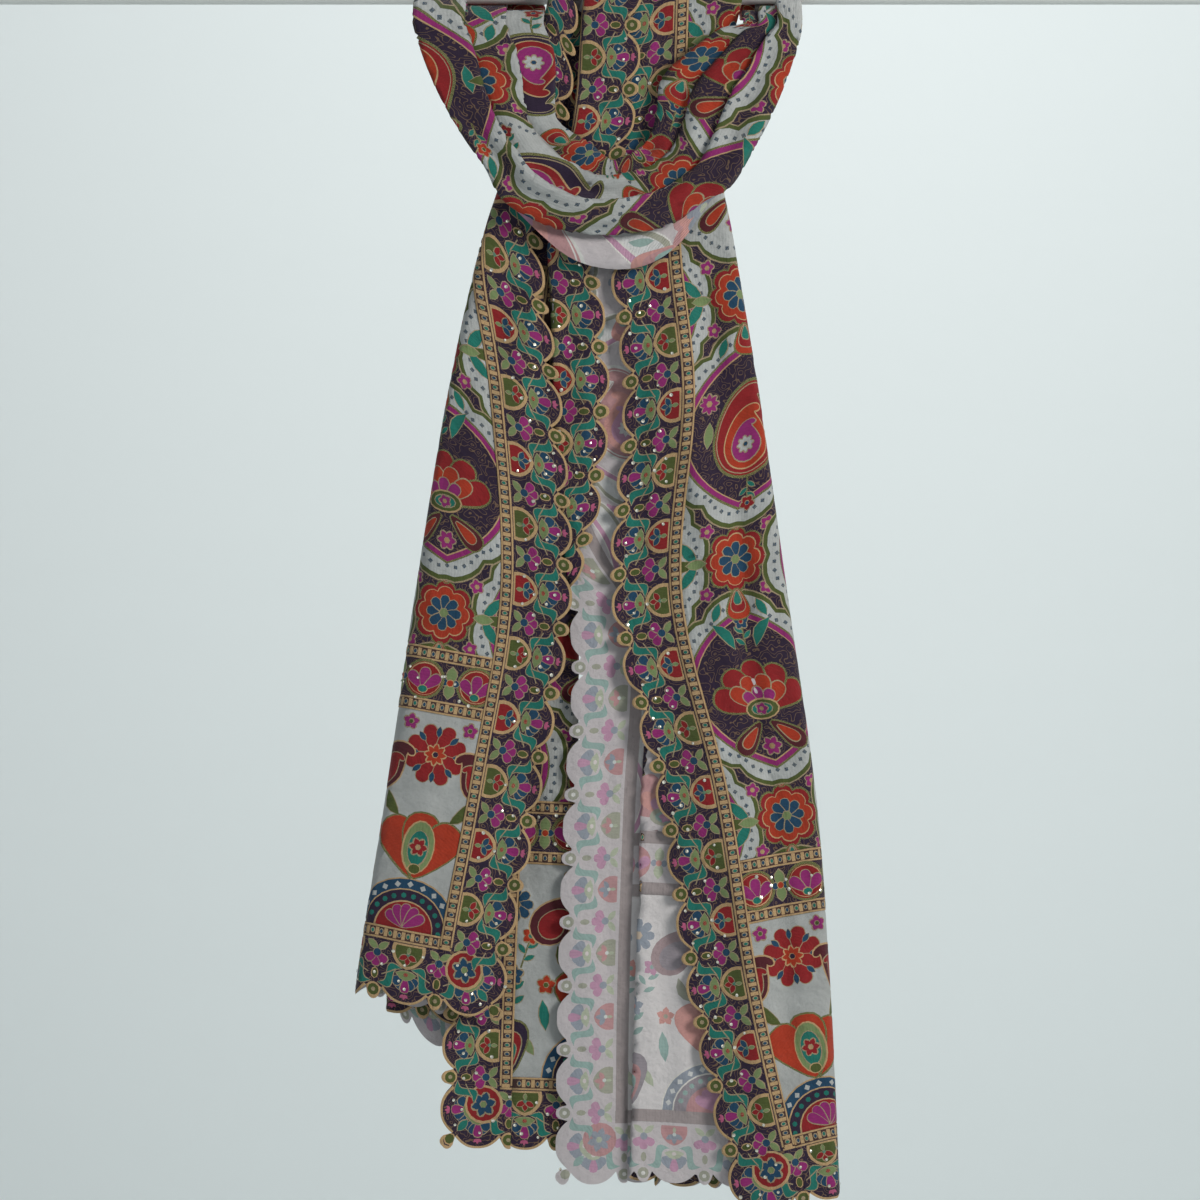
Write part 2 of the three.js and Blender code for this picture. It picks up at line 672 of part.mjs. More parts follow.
function ribbonPoint(place, at) {
  const section = ribbonSection(at);
  const k = Math.max(0, Math.min(section.length - 2, section.findIndex((p) => p.place > place) - 1));
  const a = section[k];
  const b = section[k + 1];
  const f = (place - a.place) / (b.place - a.place);
  const across = lerp(a.across, b.across, f);
  const order = lerp(a.order, b.order, f);
  const crown = curveThrough(STATION_LIST, STATIONS.map((station) => station.crown), at);
  const point = [0, 1, 2].map((axis) => (
    lerp(stationValue("outer", axis, at), stationValue("inner", axis, at), across)
    + stationValue("stack", axis, at) * order * RIBBON_STEP));
  point[1] += crown * Math.min(1, (2 * across - 1) ** 2);
  return new THREE.Vector3(...point);
}

function ribbonLines(from, to, steps) {
  const places = ribbonSection(0).map((point) => point.place);
  const inside = (place) => Math.min(Math.max(place, 0.003), RIBBON_FOLDS.length - 1.003);
  return evenly(from, to, steps).map((at) => places.map((place) => (
    clothPoint(ribbonPoint, inside(place), at, 0.003, 0.01, place))));
}

addMesh("wrap_left", clothGeometry(wrapLines(leftTail, WRAP_BACK.left)), IVORY);
addMesh("wrap_right", clothGeometry(wrapLines(rightTail, WRAP_BACK.right)), IVORY);

const lastStation = STATIONS.length - 1;
const bandSteps = lastStation - 2 * ARM_END + 1;
addMesh("arm_left", clothGeometry(ribbonLines(0, ARM_END - STATION_SEAM, 11)), IVORY);
addMesh("bight_band", clothGeometry(
  ribbonLines(ARM_END + STATION_SEAM, lastStation - ARM_END - STATION_SEAM, bandSteps)), IVORY);
addMesh("arm_right", clothGeometry(
  ribbonLines(lastStation - ARM_END + STATION_SEAM, lastStation, 11)), IVORY);

const rod = new THREE.CylinderGeometry(ROD_RADIUS, ROD_RADIUS, ROD_LENGTH, ROD_SIDES);
addMesh("rod", rod, ROD_GREY, 0.5).rotation.z = Math.PI / 2;

export default group;
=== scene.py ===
"""The look of an embroidered dupatta that is folded in half and hitched on a round rod.

Cloth is laid out flat, in millimetres, as stitched shapes over a ground. The flat layout is cut
into triangles and draped onto the hung form, which is worked out from the same folds as the
solids. Each piece has an embroidered face, a paler reverse and a rim.
"""

import math

import bpy
import numpy as np
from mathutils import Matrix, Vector
from mathutils.geometry import delaunay_2d_cdt


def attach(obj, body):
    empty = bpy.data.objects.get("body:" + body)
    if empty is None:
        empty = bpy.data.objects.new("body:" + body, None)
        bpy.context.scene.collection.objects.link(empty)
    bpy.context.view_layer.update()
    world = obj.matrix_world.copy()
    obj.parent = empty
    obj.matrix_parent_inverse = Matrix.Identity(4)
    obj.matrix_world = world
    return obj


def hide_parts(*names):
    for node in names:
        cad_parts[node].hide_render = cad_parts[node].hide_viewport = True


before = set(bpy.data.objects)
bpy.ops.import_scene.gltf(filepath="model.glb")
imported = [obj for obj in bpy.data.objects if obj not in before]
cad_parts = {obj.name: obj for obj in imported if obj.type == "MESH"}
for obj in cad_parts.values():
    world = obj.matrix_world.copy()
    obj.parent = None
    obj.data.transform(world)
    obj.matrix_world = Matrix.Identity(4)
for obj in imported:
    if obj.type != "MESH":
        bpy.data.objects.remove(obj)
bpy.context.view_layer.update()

MM = 0.001
HALF_WALL = 0.5
BORDER = 64.0
CROSS_BAND = 56.0
END_PANEL = 188.0
SCALLOP_PITCH = 56.0
SCALLOP_DEPTH = 11.0
ROD_RADIUS = 12.5
ROD_CLEARANCE = 1.5
PANEL_TOP = BORDER + END_PANEL
BAND_TOP = PANEL_TOP + CROSS_BAND

# Steps of the grids that cloth is draped on, across it and along it.
U_STEP, V_STEP = 2.0, 4.0
WRAP_ROWS = 32

# The flat triangles' spacing, how much wider it is on the reverse, and how near to a patch's
# outline their free points come, as a share of it.
SPACING, FIELD_SPACING, BIGHT_SPACING = 7.5, 8.4, 4.5
REVERSE_EXTRA = 0.5
OUTLINE_GAP = 0.3
# Half the wall's thickness at the cut, and the scale of the flat map.
CUT_WALL = 0.05
UV_SCALE = 0.01

# Areas in mm2: shapes shut inside the folds are left out below the first two, on the face and on
# the reverse. The reverse also drops its metal outlines below the second and specks below the last.
HIDDEN_FACE, HIDDEN_REVERSE, SPECK = 450, 3000, 9

# ---------------------------------------------------------------- the hung form

# Heights, in millimetres from the rod's axis, that the tables of folds are given at.
HEIGHTS = {"rod": -10, "clasp": -124, "knot": -225, "upper": -362,
           "middle": -538, "lower": -714, "low": -890, "hem": -1066}
HEIGHT_LIST = np.array(list(HEIGHTS.values()), float)
FRONT_DEPTH = [-33.2, -34, -34, -32, -29, -27, -26, -25]
LAYER_STEP = [2.4, 2.4, 2.5, 3.4, 4.2, 4.8, 5, 5]
BACK_LAYER_STEP = 1.9

# A row for each free edge and fold of a tail: x at each height, the depth order of the layer
# before it and of the layer after it, and how low the hem reaches there.
LEFT_TAIL = [
    {"x": [-20, -30, -52, -36, -27, -55, -86, -91], "before": 0, "after": 0, "hem": -908},
    {"x": [-47, -73, -106, -136, -165, -191, -218, -230], "before": 0, "after": 5.2, "hem": -884},
    {"x": [-3, -24, -41, -41, -38, -41, -47, -48], "before": 6, "after": 7, "hem": -930},
    {"x": [-41, -68, -95, -126, -156, -180, -191, -195], "before": 6.9, "after": 8, "hem": -902},
    {"x": [3, -20, -29, -25, -22, -22, -22, -23], "before": 8, "after": 5, "hem": -1024},
    {"x": [-43, -68, -97, -112, -125, -133, -140, -145], "before": 3.2, "after": 3.2, "hem": -1020},
]
RIGHT_TAIL = [
    {"x": [11, 8, 4, 17, 7, 47, 75, 114], "before": 0, "after": 0, "hem": -1084},
    {"x": [122, 99, 114, 137, 162, 187, 200, 208], "before": 0, "after": 5.6, "hem": -1062},
    {"x": [33, 33, 33, 33, 37, 41, 46, 46], "before": 5.8, "after": 4.8, "hem": -1056},
    {"x": [113, 90, 104, 127, 151, 176, 190, 198], "before": 4.5, "after": 2.2, "hem": -1058},
    {"x": [33, 33, 33, 37, 37, 33, 28, 22], "before": 1.2, "after": 2.2, "hem": -1048},
    {"x": [85, 77, 77, 81, 85, 90, 90, 85], "before": 2.4, "after": 3.4, "hem": -1050},
    {"x": [-18, -24, -43, -41, -12, -27, -38, -42], "before": 3.2, "after": 3.2, "hem": -1052},
]

# The right tail's back edge is turned over to the front along its upper half: height, place of
# the turn, length of cloth past it and radius.
TURN_HEIGHT, TURN_PLACE, TURN_LENGTH, TURN_RADIUS = np.array([
    (-10, -11, 63, 5.6), (-124, -21, 66, 5.6), (-225, -43, 50, 4.6), (-274, -42, 54, 3.6),
    (-362, -41, 56, 2.8), (-450, -37, 46, 3.2), (-503, -31, 28, 3.6), (-538, -26, 9, 4),
    (-574, -28, 0.5, 4), (-626, -28, 0.5, 4), (-714, -34, 0.5, 4), (-890, -40, 0.5, 4),
    (-1066, -42, 0.5, 4),
]).T

# Soft swells that all layers share: x at the top and at the hem, heights of the top and the
# hem, half width and how far it comes forward.
SWELLS = [
    (-72, -150, -225, -960, 32, 6), (-92, -190, -240, -900, 28, 4), (-62, -112, -260, -930, 28, -4),
    (52, 168, -235, -1080, 32, 7), (92, 190, -225, -1060, 28, -4), (24, 66, -300, -1060, 28, -5),
    (-20, -20, -420, -1060, 30, 4),
]


def lerp(a, b, f):
    return a + (b - a) * f


def ease(f):
    f = np.clip(f, 0, 1)
    return f * f * (3 - 2 * f)


def curve_through(places, values, at):
    """A smooth curve through values at places that run steadily up or down."""
    places, values = np.asarray(places, float), np.asarray(values, float)
    at = np.atleast_1d(np.asarray(at, float))
    if places[-1] < places[0]:
        places, values = places[::-1], values[::-1]
    last = len(places) - 1
    low, high = np.maximum(np.arange(last + 1) - 1, 0), np.minimum(np.arange(last + 1) + 1, last)
    slope = (values[high] - values[low]) / (places[high] - places[low])
    k = np.clip(np.searchsorted(places, at, "right") - 1, 0, last - 1)
    width = places[k + 1] - places[k]
    f = (at - places[k]) / width
    inner = ((2 * f**3 - 3 * f**2 + 1) * values[k] + (f**3 - 2 * f**2 + f) * width * slope[k]
             + (3 * f**2 - 2 * f**3) * values[k + 1] + (f**3 - f**2) * width * slope[k + 1])
    below = values[0] + slope[0] * (at - places[0])
    above = values[-1] + slope[-1] * (at - places[-1])
    return np.where(f < 0, below, np.where(f > 1, above, inner))


def at_height(values, z):
    return curve_through(HEIGHT_LIST, values, z)


def layer_depth(z, order):
    return at_height(FRONT_DEPTH, z) + order * at_height(LAYER_STEP, z)


def swell(x, z):
    """How far all layers are moved back at a place."""
    total = np.zeros_like(x)
    for x_top, x_hem, z_top, z_hem, half_width, height in SWELLS:
        f = np.clip((z_top - z) / (z_top - z_hem), 0, 1)
        off = (x - lerp(x_top, x_hem, f)) / half_width
        total -= height * ease((z_top - z) / 160) * np.exp(-off * off)
    return total


# Sharper creases and soft dents: x and z at the top, x and z at the foot, half width and height.
CREASES = [
    (-78, -232, -118, -520, 9, -3.2), (-96, -250, -150, -420, 11, 3.0),
    (-112, -300, -168, -560, 8, -2.6), (-58, -240, -72, -430, 8, 2.4),
    (-140, -420, -182, -760, 10, 2.8), (-120, -560, -150, -900, 9, -2.6),
    (-176, -640, -206, -900, 9, -2.2), (-100, -700, -112, -960, 11, 2.6),
    (-60, -620, -66, -980, 8, -2.0), (62, -232, 96, -540, 11, 3.6), (84, -236, 128, -470, 10, -3.6),
    (100, -240, 150, -640, 9, 3.2), (108, -300, 158, -900, 10, -3.8),
    (128, -420, 182, -1000, 9, 3.4), (70, -420, 124, -760, 9, -2.8), (44, -300, 50, -620, 8, 2.2),
    (96, -700, 160, -1070, 10, 3.0), (146, -620, 176, -1070, 9, -3.0),
    (30, -560, 44, -1040, 9, 2.6), (4, -640, 6, -1060, 8, -2.2), (60, -760, 72, -1060, 8, 2.4),
    (-8, -232, -14, -520, 7, 1.8), (-30, -240, -40, -500, 6, -1.6),
]


def creasing(x, z):
    """How far the creases move the cloth back, alike in all its layers."""
    total = np.zeros_like(x)
    for x_top, z_top, x_foot, z_foot, half_width, height in CREASES:
        f = (z_top - z) / (z_top - z_foot)
        middle = lerp(x_top, x_foot, f) + 3.5 * np.sin(z / 61 + x_top)
        strength = ease(f / 0.18) * ease((1 - f) / 0.35) * (1 + 0.25 * np.sin(z / 37 + x_foot))
        total -= height * strength * np.exp(-((x - middle) / half_width) ** 2)
    ripple = (0.5 * np.sin(x / 7.3 + z / 83) * np.sin(z / 47 + x / 31)
              + 0.35 * np.sin(z / 19 + x / 13))
    return total + ripple * ease((-20 - z) / 120)


def scallop(along, pitch=SCALLOP_PITCH):
    """Depth of the scalloped edge below the tips of its lobes, a small one and a broad one."""
    place = (np.asarray(along, float) / pitch) % 1
    small = np.abs(place - 0.125) / 0.125
    broad = np.abs(place - 0.625) / 0.375
    round_lobe = 1 - np.sqrt(np.clip(1 - small * small, 0, 1))
    return SCALLOP_DEPTH * np.where(place < 0.25, round_lobe, np.clip(broad, 0, 1) ** 2.4)


LEVEL_ABOVE_HEM = [BAND_TOP, PANEL_TOP, BORDER, 0]
# How far a fold's turn reaches sideways at most.
LARGEST_REACH = 6


def level_height(hem, level):
    """Height of a tail's level: -1 at the rod line, 0 at the knot and 4 at the hem."""
    if level < 0:
        return lerp(HEIGHTS["knot"], HEIGHTS["rod"], -level)
    if level < 1:
        return lerp(HEIGHTS["knot"], hem + LEVEL_ABOVE_HEM[0], level)
    k = min(2, int(level) - 1)
    return hem + lerp(LEVEL_ABOVE_HEM[k], LEVEL_ABOVE_HEM[k + 1], level - 1 - k)


def tail_section(rows, turned, level):
    """The line that the cloth follows across a tail at one level: x, y, z and the hem's height."""
    folds = []
    for row in rows:
        z = level_height(row["hem"], level)
        folds.append({
            "x": float(at_height(row["x"], z)[0]), "z": z, "hem": row["hem"],
            "before": float(layer_depth(z, row["before"])[0]),
            "after": float(layer_depth(z, row["after"])[0]),
        })
    last = len(folds) - 1
    if turned:
        folds[last]["x"] = turned_value(TURN_PLACE, folds[last]["z"])
    reach = [min(abs(fold["after"] - fold["before"]) / 2, LARGEST_REACH) for fold in folds]
    reach[0] = reach[last] = 0
    points = []
    for j in range(last):
        a, b = folds[j], folds[j + 1]
        heading = np.sign(b["x"] - a["x"])
        start, end = a["x"] + heading * reach[j], b["x"] - heading * reach[j + 1]
        for f in np.linspace(0, 1, 40):
            points.append((lerp(start, end, f), lerp(a["after"], b["before"], f),
                           lerp(a["z"], b["z"], f), lerp(a["hem"], b["hem"], f)))
        if j + 1 < last:
            for angle in np.linspace(0, math.pi, 10)[1:-1]:
                points.append((b["x"] - heading * reach[j + 1] * (1 - math.sin(angle)),
                               lerp(b["before"], b["after"], (1 - math.cos(angle)) / 2),
                               b["z"], b["hem"]))
    if turned:
        points += turned_points(folds[last])
    points = np.array(points)
    points[:, 1] += swell(points[:, 0], points[:, 2])
    return points


def turned_value(values, z):
    return float(curve_through(TURN_HEIGHT, values, z)[0])


def turned_points(fold):
    """The cloth past the turn of the turned-over edge."""
    length, radius = (turned_value(values, fold["z"]) for values in (TURN_LENGTH, TURN_RADIUS))
    round_part = min(length, math.pi * radius)
    angles = np.linspace(0, round_part / radius, 13)[1:]
    points = [(fold["x"] - radius * math.sin(a), fold["before"] - radius * (1 - math.cos(a)),
               fold["z"], fold["hem"]) for a in angles]
    x, y, z, hem = points[-1]
    flat = length - round_part
    if flat > 0.01:
        points += [(x + flat * f, y, z, hem) for f in np.linspace(0, 1, 8)[1:]]
    return points


def along_line(points):
    steps = np.linalg.norm(np.diff(points[:, :3], axis=0), axis=1)
    return np.concatenate([[0], np.cumsum(steps)])


class Drape:
    """A hung surface as a grid of points over the flat cloth, u across and v along, in mm."""

    def __init__(self, points, u_step, v_step, facing):
        self.points, self.u_step, self.v_step = points, u_step, v_step
        self.facing = facing
        across = np.gradient(points, axis=1)
        along = np.gradient(points, axis=0)
        normals = np.cross(across, along) * facing
        self.normals = normals / np.maximum(np.linalg.norm(normals, axis=2, keepdims=True), 1e-9)

    def at(self, u, v, lift):
        """Points at flat places, lifted off the middle of the wall."""
        rows, columns = self.points.shape[:2]
        column = np.clip(u / self.u_step, 0, columns - 1.001)
        row = np.clip(v / self.v_step, 0, rows - 1.001)
        c, r = column.astype(int), row.astype(int)
        fc, fr = (column - c)[:, None], (row - r)[:, None]

        def mix(grid):
            return ((grid[r, c] * (1 - fc) + grid[r, c + 1] * fc) * (1 - fr)
                    + (grid[r + 1, c] * (1 - fc) + grid[r + 1, c + 1] * fc) * fr)

        normal = mix(self.normals)
        normal /= np.maximum(np.linalg.norm(normal, axis=1, keepdims=True), 1e-9)
        return mix(self.points) + normal * np.asarray(lift)[:, None]


def flat_places(lengths, width):
    """Flat places of points along a section. Both edges keep their scale to 0.3 of the width."""
    total = lengths[-1]
    kept = 0.3 * total
    return np.interp(lengths, [0, kept, total - kept, total], [0, kept, width - kept, width])


def tail_drape(rows, turned, facing):
    """The drape of a tail. u runs from its front edge, v up from its hem."""
    levels = np.concatenate([np.linspace(-1, 0, 16)[:-1], np.linspace(0, 1, 44)[:-1],
                             np.linspace(1, 4, 40)])
    sections = [tail_section(rows, turned, level) for level in levels]
    width = float(along_line(sections[-1])[-1])
    columns = np.arange(0, width + U_STEP, U_STEP)
    grid = np.empty((len(levels), len(columns), 4))
    for i, section in enumerate(sections):
        places = flat_places(along_line(section), width)
        for k in range(4):
            grid[i, :, k] = np.interp(columns, places, section[:, k])
    above = grid[:, :, 2] - grid[:, :, 3]
    heights = np.arange(0, above.max() + V_STEP, V_STEP)
    points = np.empty((len(heights), len(columns), 3))
    for c in range(len(columns)):
        order = above[::-1, c]
        for k in range(3):
            points[:, c, k] = np.interp(heights, order, grid[::-1, c, k])
    points[:, :, 1] += creasing(points[:, :, 0], points[:, :, 2])
    drape = Drape(points, U_STEP, V_STEP, facing)
    drape.width = width
    drape.hem_pitch = width / round(width / SCALLOP_PITCH)
    drape.top = above[0]
    drape.columns = columns
    drape.section_top = sections[0]
    return drape


def wrap_drape(tail, spread, facing):
    """The drape of the cloth over the rod: v runs from the tail's rod line over to the back."""
    section = tail.section_top
    lengths = along_line(section)
    places = flat_places(lengths, tail.width)
    columns = tail.columns
    xs = np.interp(columns, places, section[:, 0])
    ys = np.interp(columns, places, section[:, 1])
    low, high = xs.min(), xs.max()
    share = (xs - low) / (high - low)
    back = lerp(min(spread), max(spread), share)
    innermost = ROD_RADIUS + ROD_CLEARANCE
    rise = -HEIGHTS["rod"]
    turns = np.linspace(0, 1, WRAP_ROWS + 1)
    points = np.empty((len(turns), len(columns), 3))
    for i, turn in enumerate(turns):
        moved = float(ease(turn))
        radius = innermost + (-ys - innermost) * lerp(1, BACK_LAYER_STEP / LAYER_STEP[0], moved)
        path = turn * (rise + math.pi * radius)
        angle = np.maximum(path - rise, 0) / radius
        points[i, :, 0] = lerp(xs, back, moved)
        points[i, :, 1] = -radius * np.cos(angle)
        points[i, :, 2] = np.where(path < rise, -rise + path, radius * np.sin(angle))
    length = rise + math.pi * float(np.mean(-ys))
    drape = Drape(points, U_STEP, length / WRAP_ROWS, facing)
    drape.width, drape.length = tail.width, length
    return drape


# The bight crosses in front of the tails: outer and inner edge as x and z, and depth.
BIGHT = [
    ((-165, -39), (-51, -39), -56), ((-156, -68), (-42, -63), -57), ((-141, -103), (-41, -94), -58),
    ((-121, -137), (-41, -117), -60), ((-101, -166), (-31, -129), -61),
    ((-89, -190), (-18, -136), -62), ((-64, -207), (-6, -145), -63), ((-33, -219), (2, -152), -64),
    ((-3, -222), (8, -156), -64), ((32, -220), (17, -153), -64), ((63, -211), (27, -148), -63),
    ((90, -191), (36, -142), -62), ((110, -181), (43, -129), -61), ((129, -151), (47, -107), -60),
    ((147, -117), (52, -82), -59), ((161, -82), (77, -60), -58), ((170, -54), (101, -42), -57),
    ((172, -39), (121, -38), -56),
]
# The bight's layers: place across the band at its arms and at its middle, and the depth order
# before and after each fold.
RIBBON_FOLDS = [
    (0.3, 0.3, 0.9, 0.9), (0, 0, 0.9, 0), (0.4, 0.46, 0, 1.8), (0.1, 0.14, 1.8, 2.7),
    (0.72, 0.78, 2.7, 3.6), (0.42, 0.46, 3.6, 4.5), (1, 1, 4.5, 5.4), (0.05, -0.44, 5.4, 5.4),
]
RIBBON_STEP = 2.2
RIBBON_CROWN = 5
# Half the share of the band's width that a fold's turn takes up.
RIBBON_TURN = 0.012
SAG_REACH = 1.9
# Soft rolls across the band: height, waves across and shift from station to station.
ROLLS = [(2.2, 13, 0.5), (1.5, 24, -0.8)]
# The bend from the rod's underside to the front.
BEND_RADIUS = 25
BEND_STATIONS = 7


def ribbon_stations():
    """Places along the bight: outer and inner end, the way its layers stack, and its crown."""

    def bend(row, leaving):
        radius = ROD_RADIUS + ROD_CLEARANCE
        places = []
        for degrees in (1.5, 30, 60, 90):
            a = math.radians(degrees)
            places.append((radius * math.cos(a), -radius * math.sin(a), a))
        for degrees in (0, 30, 60):
            a = math.radians(degrees)
            places.append((row[2] + BEND_RADIUS - BEND_RADIUS * math.sin(a),
                           -radius - BEND_RADIUS + BEND_RADIUS * math.cos(a), math.pi / 2 - a))
        stations = [((row[0][0], y, z), (row[1][0], y, z), (0, math.cos(a), -math.sin(a)), 0)
                    for y, z, a in places]
        return stations if leaving else stations[::-1]

    front = []
    for i, (outer, inner, depth) in enumerate(BIGHT):
        crown = RIBBON_CROWN * float(ease(min(i, len(BIGHT) - 1 - i) / 3))
        front.append(((outer[0], depth, outer[1]), (inner[0], depth, inner[1]), (0, 1, 0), crown))
    return bend(BIGHT[0], True) + front + bend(BIGHT[-1], False)


def ribbon_drape(facing):
    """The drape of the bight: u across its layers and v along it, from the left arm's back."""
    stations = ribbon_stations()
    indices = np.arange(len(stations))
    dense = np.linspace(0, len(stations) - 1, 4 * (len(stations) - 1) + 1)

    def smooth(values):
        return curve_through(indices, values, dense)

    outer, inner, stack = (
        np.stack([smooth([station[part][k] for station in stations]) for k in range(3)], 1)
        for part in range(3))
    crown = smooth([s[3] for s in stations])
    middle = (len(stations) - 1) / 2
    sag = np.exp(-((dense - middle) / SAG_REACH) ** 2)
    lines = []
    for i in range(len(dense)):
        folds = [(lerp(arm, mid, sag[i]), before, after)
                 for arm, mid, before, after in RIBBON_FOLDS]
        across, order = [], []
        for j in range(len(folds) - 1):
            a, b = folds[j], folds[j + 1]
            heading = np.sign(b[0] - a[0])
            start = a[0] + (heading * RIBBON_TURN if j else 0)
            end = b[0] - (heading * RIBBON_TURN if j + 2 < len(folds) else 0)
            across += list(np.linspace(start, end, 24))
            order += list(np.linspace(a[2], b[1], 24))
            if j + 2 < len(folds):
                for angle in np.linspace(0, math.pi, 8)[1:-1]:
                    across.append(b[0] - heading * RIBBON_TURN * (1 - math.sin(angle)))
                    order.append(lerp(b[1], b[2], (1 - math.cos(angle)) / 2))
        across, order = np.array(across), np.array(order)
        line = lerp(outer[i], inner[i], across[:, None]) + stack[i] * (order[:, None] * RIBBON_STEP)
        line[:, 1] += crown[i] * np.minimum(1, (2 * across - 1) ** 2)
        roll = sum(height * np.sin(waves * across + shift * dense[i])
                   for height, waves, shift in ROLLS)
        from_bend = min(dense[i], len(stations) - 1 - dense[i]) - BEND_STATIONS
        line[:, 1] += roll * ease(from_bend / 3)
        lines.append(line)
    spans = [np.linalg.norm(np.diff(line, axis=0), axis=1).sum() for line in lines]
    width = float(np.mean(spans))
    columns = np.arange(0, width + U_STEP, U_STEP)
    points = np.empty((len(lines), len(columns), 3))
    for i, line in enumerate(lines):
        lengths = along_line(line)
        for k in range(3):
            points[i, :, k] = np.interp(columns * lengths[-1] / width, lengths, line[:, k])
    path = along_line(points.mean(axis=1))
    heights = np.arange(0, path[-1] + V_STEP, V_STEP)
    even = np.empty((len(heights), len(columns), 3))
    for c in range(len(columns)):
        for k in range(3):
            even[:, c, k] = np.interp(heights, path, points[:, c, k])
    drape = Drape(even, U_STEP, V_STEP, facing)
    drape.width, drape.length = width, float(path[-1])
    return drape


# ---------------------------------------------------------------- pieces laid flat and draped

def signed_area(polygon):
    ahead = np.roll(polygon, -1, axis=0)
    return np.sum(polygon[:, 0] * ahead[:, 1] - polygon[:, 1] * ahead[:, 0]) / 2


def anticlockwise(polygon):
    polygon = np.asarray(polygon, float)
    return polygon if signed_area(polygon) > 0 else polygon[::-1]


def stepped(polygon, step):
    """The polygon with its long edges cut into steps, so that it can follow the drape."""
    ahead = np.roll(polygon, -1, axis=0)
    points = []
    for a, b in zip(polygon, ahead):
        count = max(1, int(math.ceil(np.linalg.norm(b - a) / step)))
        points += [a + (b - a) * k / count for k in range(count)]
    return np.array(points)


class Patch:
    """One flat piece of the embroidery: shapes over a ground, later shapes on top of earlier."""

    def __init__(self, outline):
        self.outline = anticlockwise(outline)
        self.low, self.high = self.outline.min(axis=0), self.outline.max(axis=0)
        self.shapes = []

    def add(self, polygon, dye, kind=0.0, angle=0.0, lift=0.0):
        self.shapes.append((stepped(anticlockwise(polygon), 8), dye, kind, angle, lift))


def stitched_where_seen(patch, drape, reverse):
    """The patch's shapes without the small ones that are shut inside the folds.

    The reverse has no fine metal outlines either.
    """
    seen = drape.reverse_seen if reverse else drape.face_seen
    smallest = HIDDEN_REVERSE if reverse else HIDDEN_FACE
    kept = []
    for shape in patch.shapes:
        polygon, _, kind, *_ = shape
        area = abs(signed_area(polygon))
        if reverse and (kind == ZARI and area < smallest or kind != BEAD and area < SPECK):
            continue
        middle = polygon.mean(axis=0)
        row = int(np.clip(middle[1] / drape.v_step, 0, seen.shape[0] - 1))
        column = int(np.clip(middle[0] / drape.u_step, 0, seen.shape[1] - 1))
        if seen[row, column] or area > smallest:
            kept.append(shape)
    return kept


def lay(patch, shapes, spacing):
    """The flat triangles of a patch: places, triangles and the shape that each one belongs to."""
    points = [tuple(p) for p in patch.outline]
    faces = [list(range(len(points)))]
    for polygon, *_ in shapes:
        faces.append(list(range(len(points), len(points) + len(polygon))))
        points += [tuple(p) for p in polygon]
    us, vs = (np.arange(math.ceil(low / spacing + OUTLINE_GAP) * spacing,
                        high - OUTLINE_GAP * spacing, spacing)
              for low, high in zip(patch.low, patch.high))
    points += [(u, v) for u in us for v in vs]
    places, _, found, _, _, origins = delaunay_2d_cdt(
        [Vector(p) for p in points], [], faces, 1, 1e-4)
    inside = [(tuple(face), max(origin)) for face, origin in zip(found, origins) if 0 in origin]
    triangles, owners = zip(*inside)
    return np.array([tuple(p) for p in places]), np.array(triangles), np.array(owners)


def srgb(red, green, blue):
    """A colour given as 0 to 255, as the linear values that shaders use."""
    return tuple(c / 12.92 if c <= 0.04045 else ((c + 0.055) / 1.055) ** 2.4
                 for c in (red / 255, green / 255, blue / 255))


DYES = {
    "ivory": srgb(215, 222, 220), "purple": srgb(60, 30, 75), "crimson": srgb(175, 20, 35),
    "orange": srgb(205, 75, 20), "magenta": srgb(180, 50, 145), "teal": srgb(15, 150, 135),
    "petrol": srgb(15, 95, 130), "olive": srgb(105, 120, 55), "sage": srgb(155, 178, 125),
    "beige": srgb(215, 185, 140), "zari": srgb(180, 168, 140), "lilac": srgb(150, 120, 170),
    "umber": srgb(96, 66, 62), "rose": srgb(214, 120, 160), "wine": srgb(110, 18, 45),
}
GROUND, SATIN, ZARI, BEAD = 0.0, 1.0, 2.0, 3.0


def layer(drape, patch, ground, spacing, reverse):
    """One side of a piece: places, triangles, dyes and stitches, with its edge drawn in."""
    shapes = stitched_where_seen(patch, drape, reverse)
    flat, triangles, owners = lay(patch, shapes, spacing)
    looks = [(DYES[ground], (GROUND, 0.0), 0.0)]
    looks += [(DYES[dye], (kind, angle), lift) for _, dye, kind, angle, lift in shapes]
    dyes, stitches, lifts = (np.array(values)[owners] for values in zip(*looks))
    corners, raised = np.zeros(len(flat)), np.zeros(len(flat))
    for k in range(3):
        np.add.at(corners, triangles[:, k], 1)
        np.add.at(raised, triangles[:, k], lifts)
    lifted = 0 if reverse else raised / np.maximum(corners, 1)
    raised = np.full(len(flat), HALF_WALL) + lifted
    edges = np.concatenate([triangles[:, [k, (k + 1) % 3]] for k in range(3)])
    unique, uses = np.unique(np.sort(edges, 1), axis=0, return_counts=True)
    raised[unique[uses == 1].ravel()] = CUT_WALL
    points = drape.at(flat[:, 0], flat[:, 1], -raised if reverse else raised)
    a, b, c = (flat[triangles[:, k]] for k in range(3))
    area = (b[:, 0] - a[:, 0]) * (c[:, 1] - a[:, 1]) - (b[:, 1] - a[:, 1]) * (c[:, 0] - a[:, 0])
    turned = area * drape.facing * (-1 if reverse else 1) < 0
    triangles[turned] = triangles[turned][:, ::-1]
    return points, flat, triangles, dyes, stitches


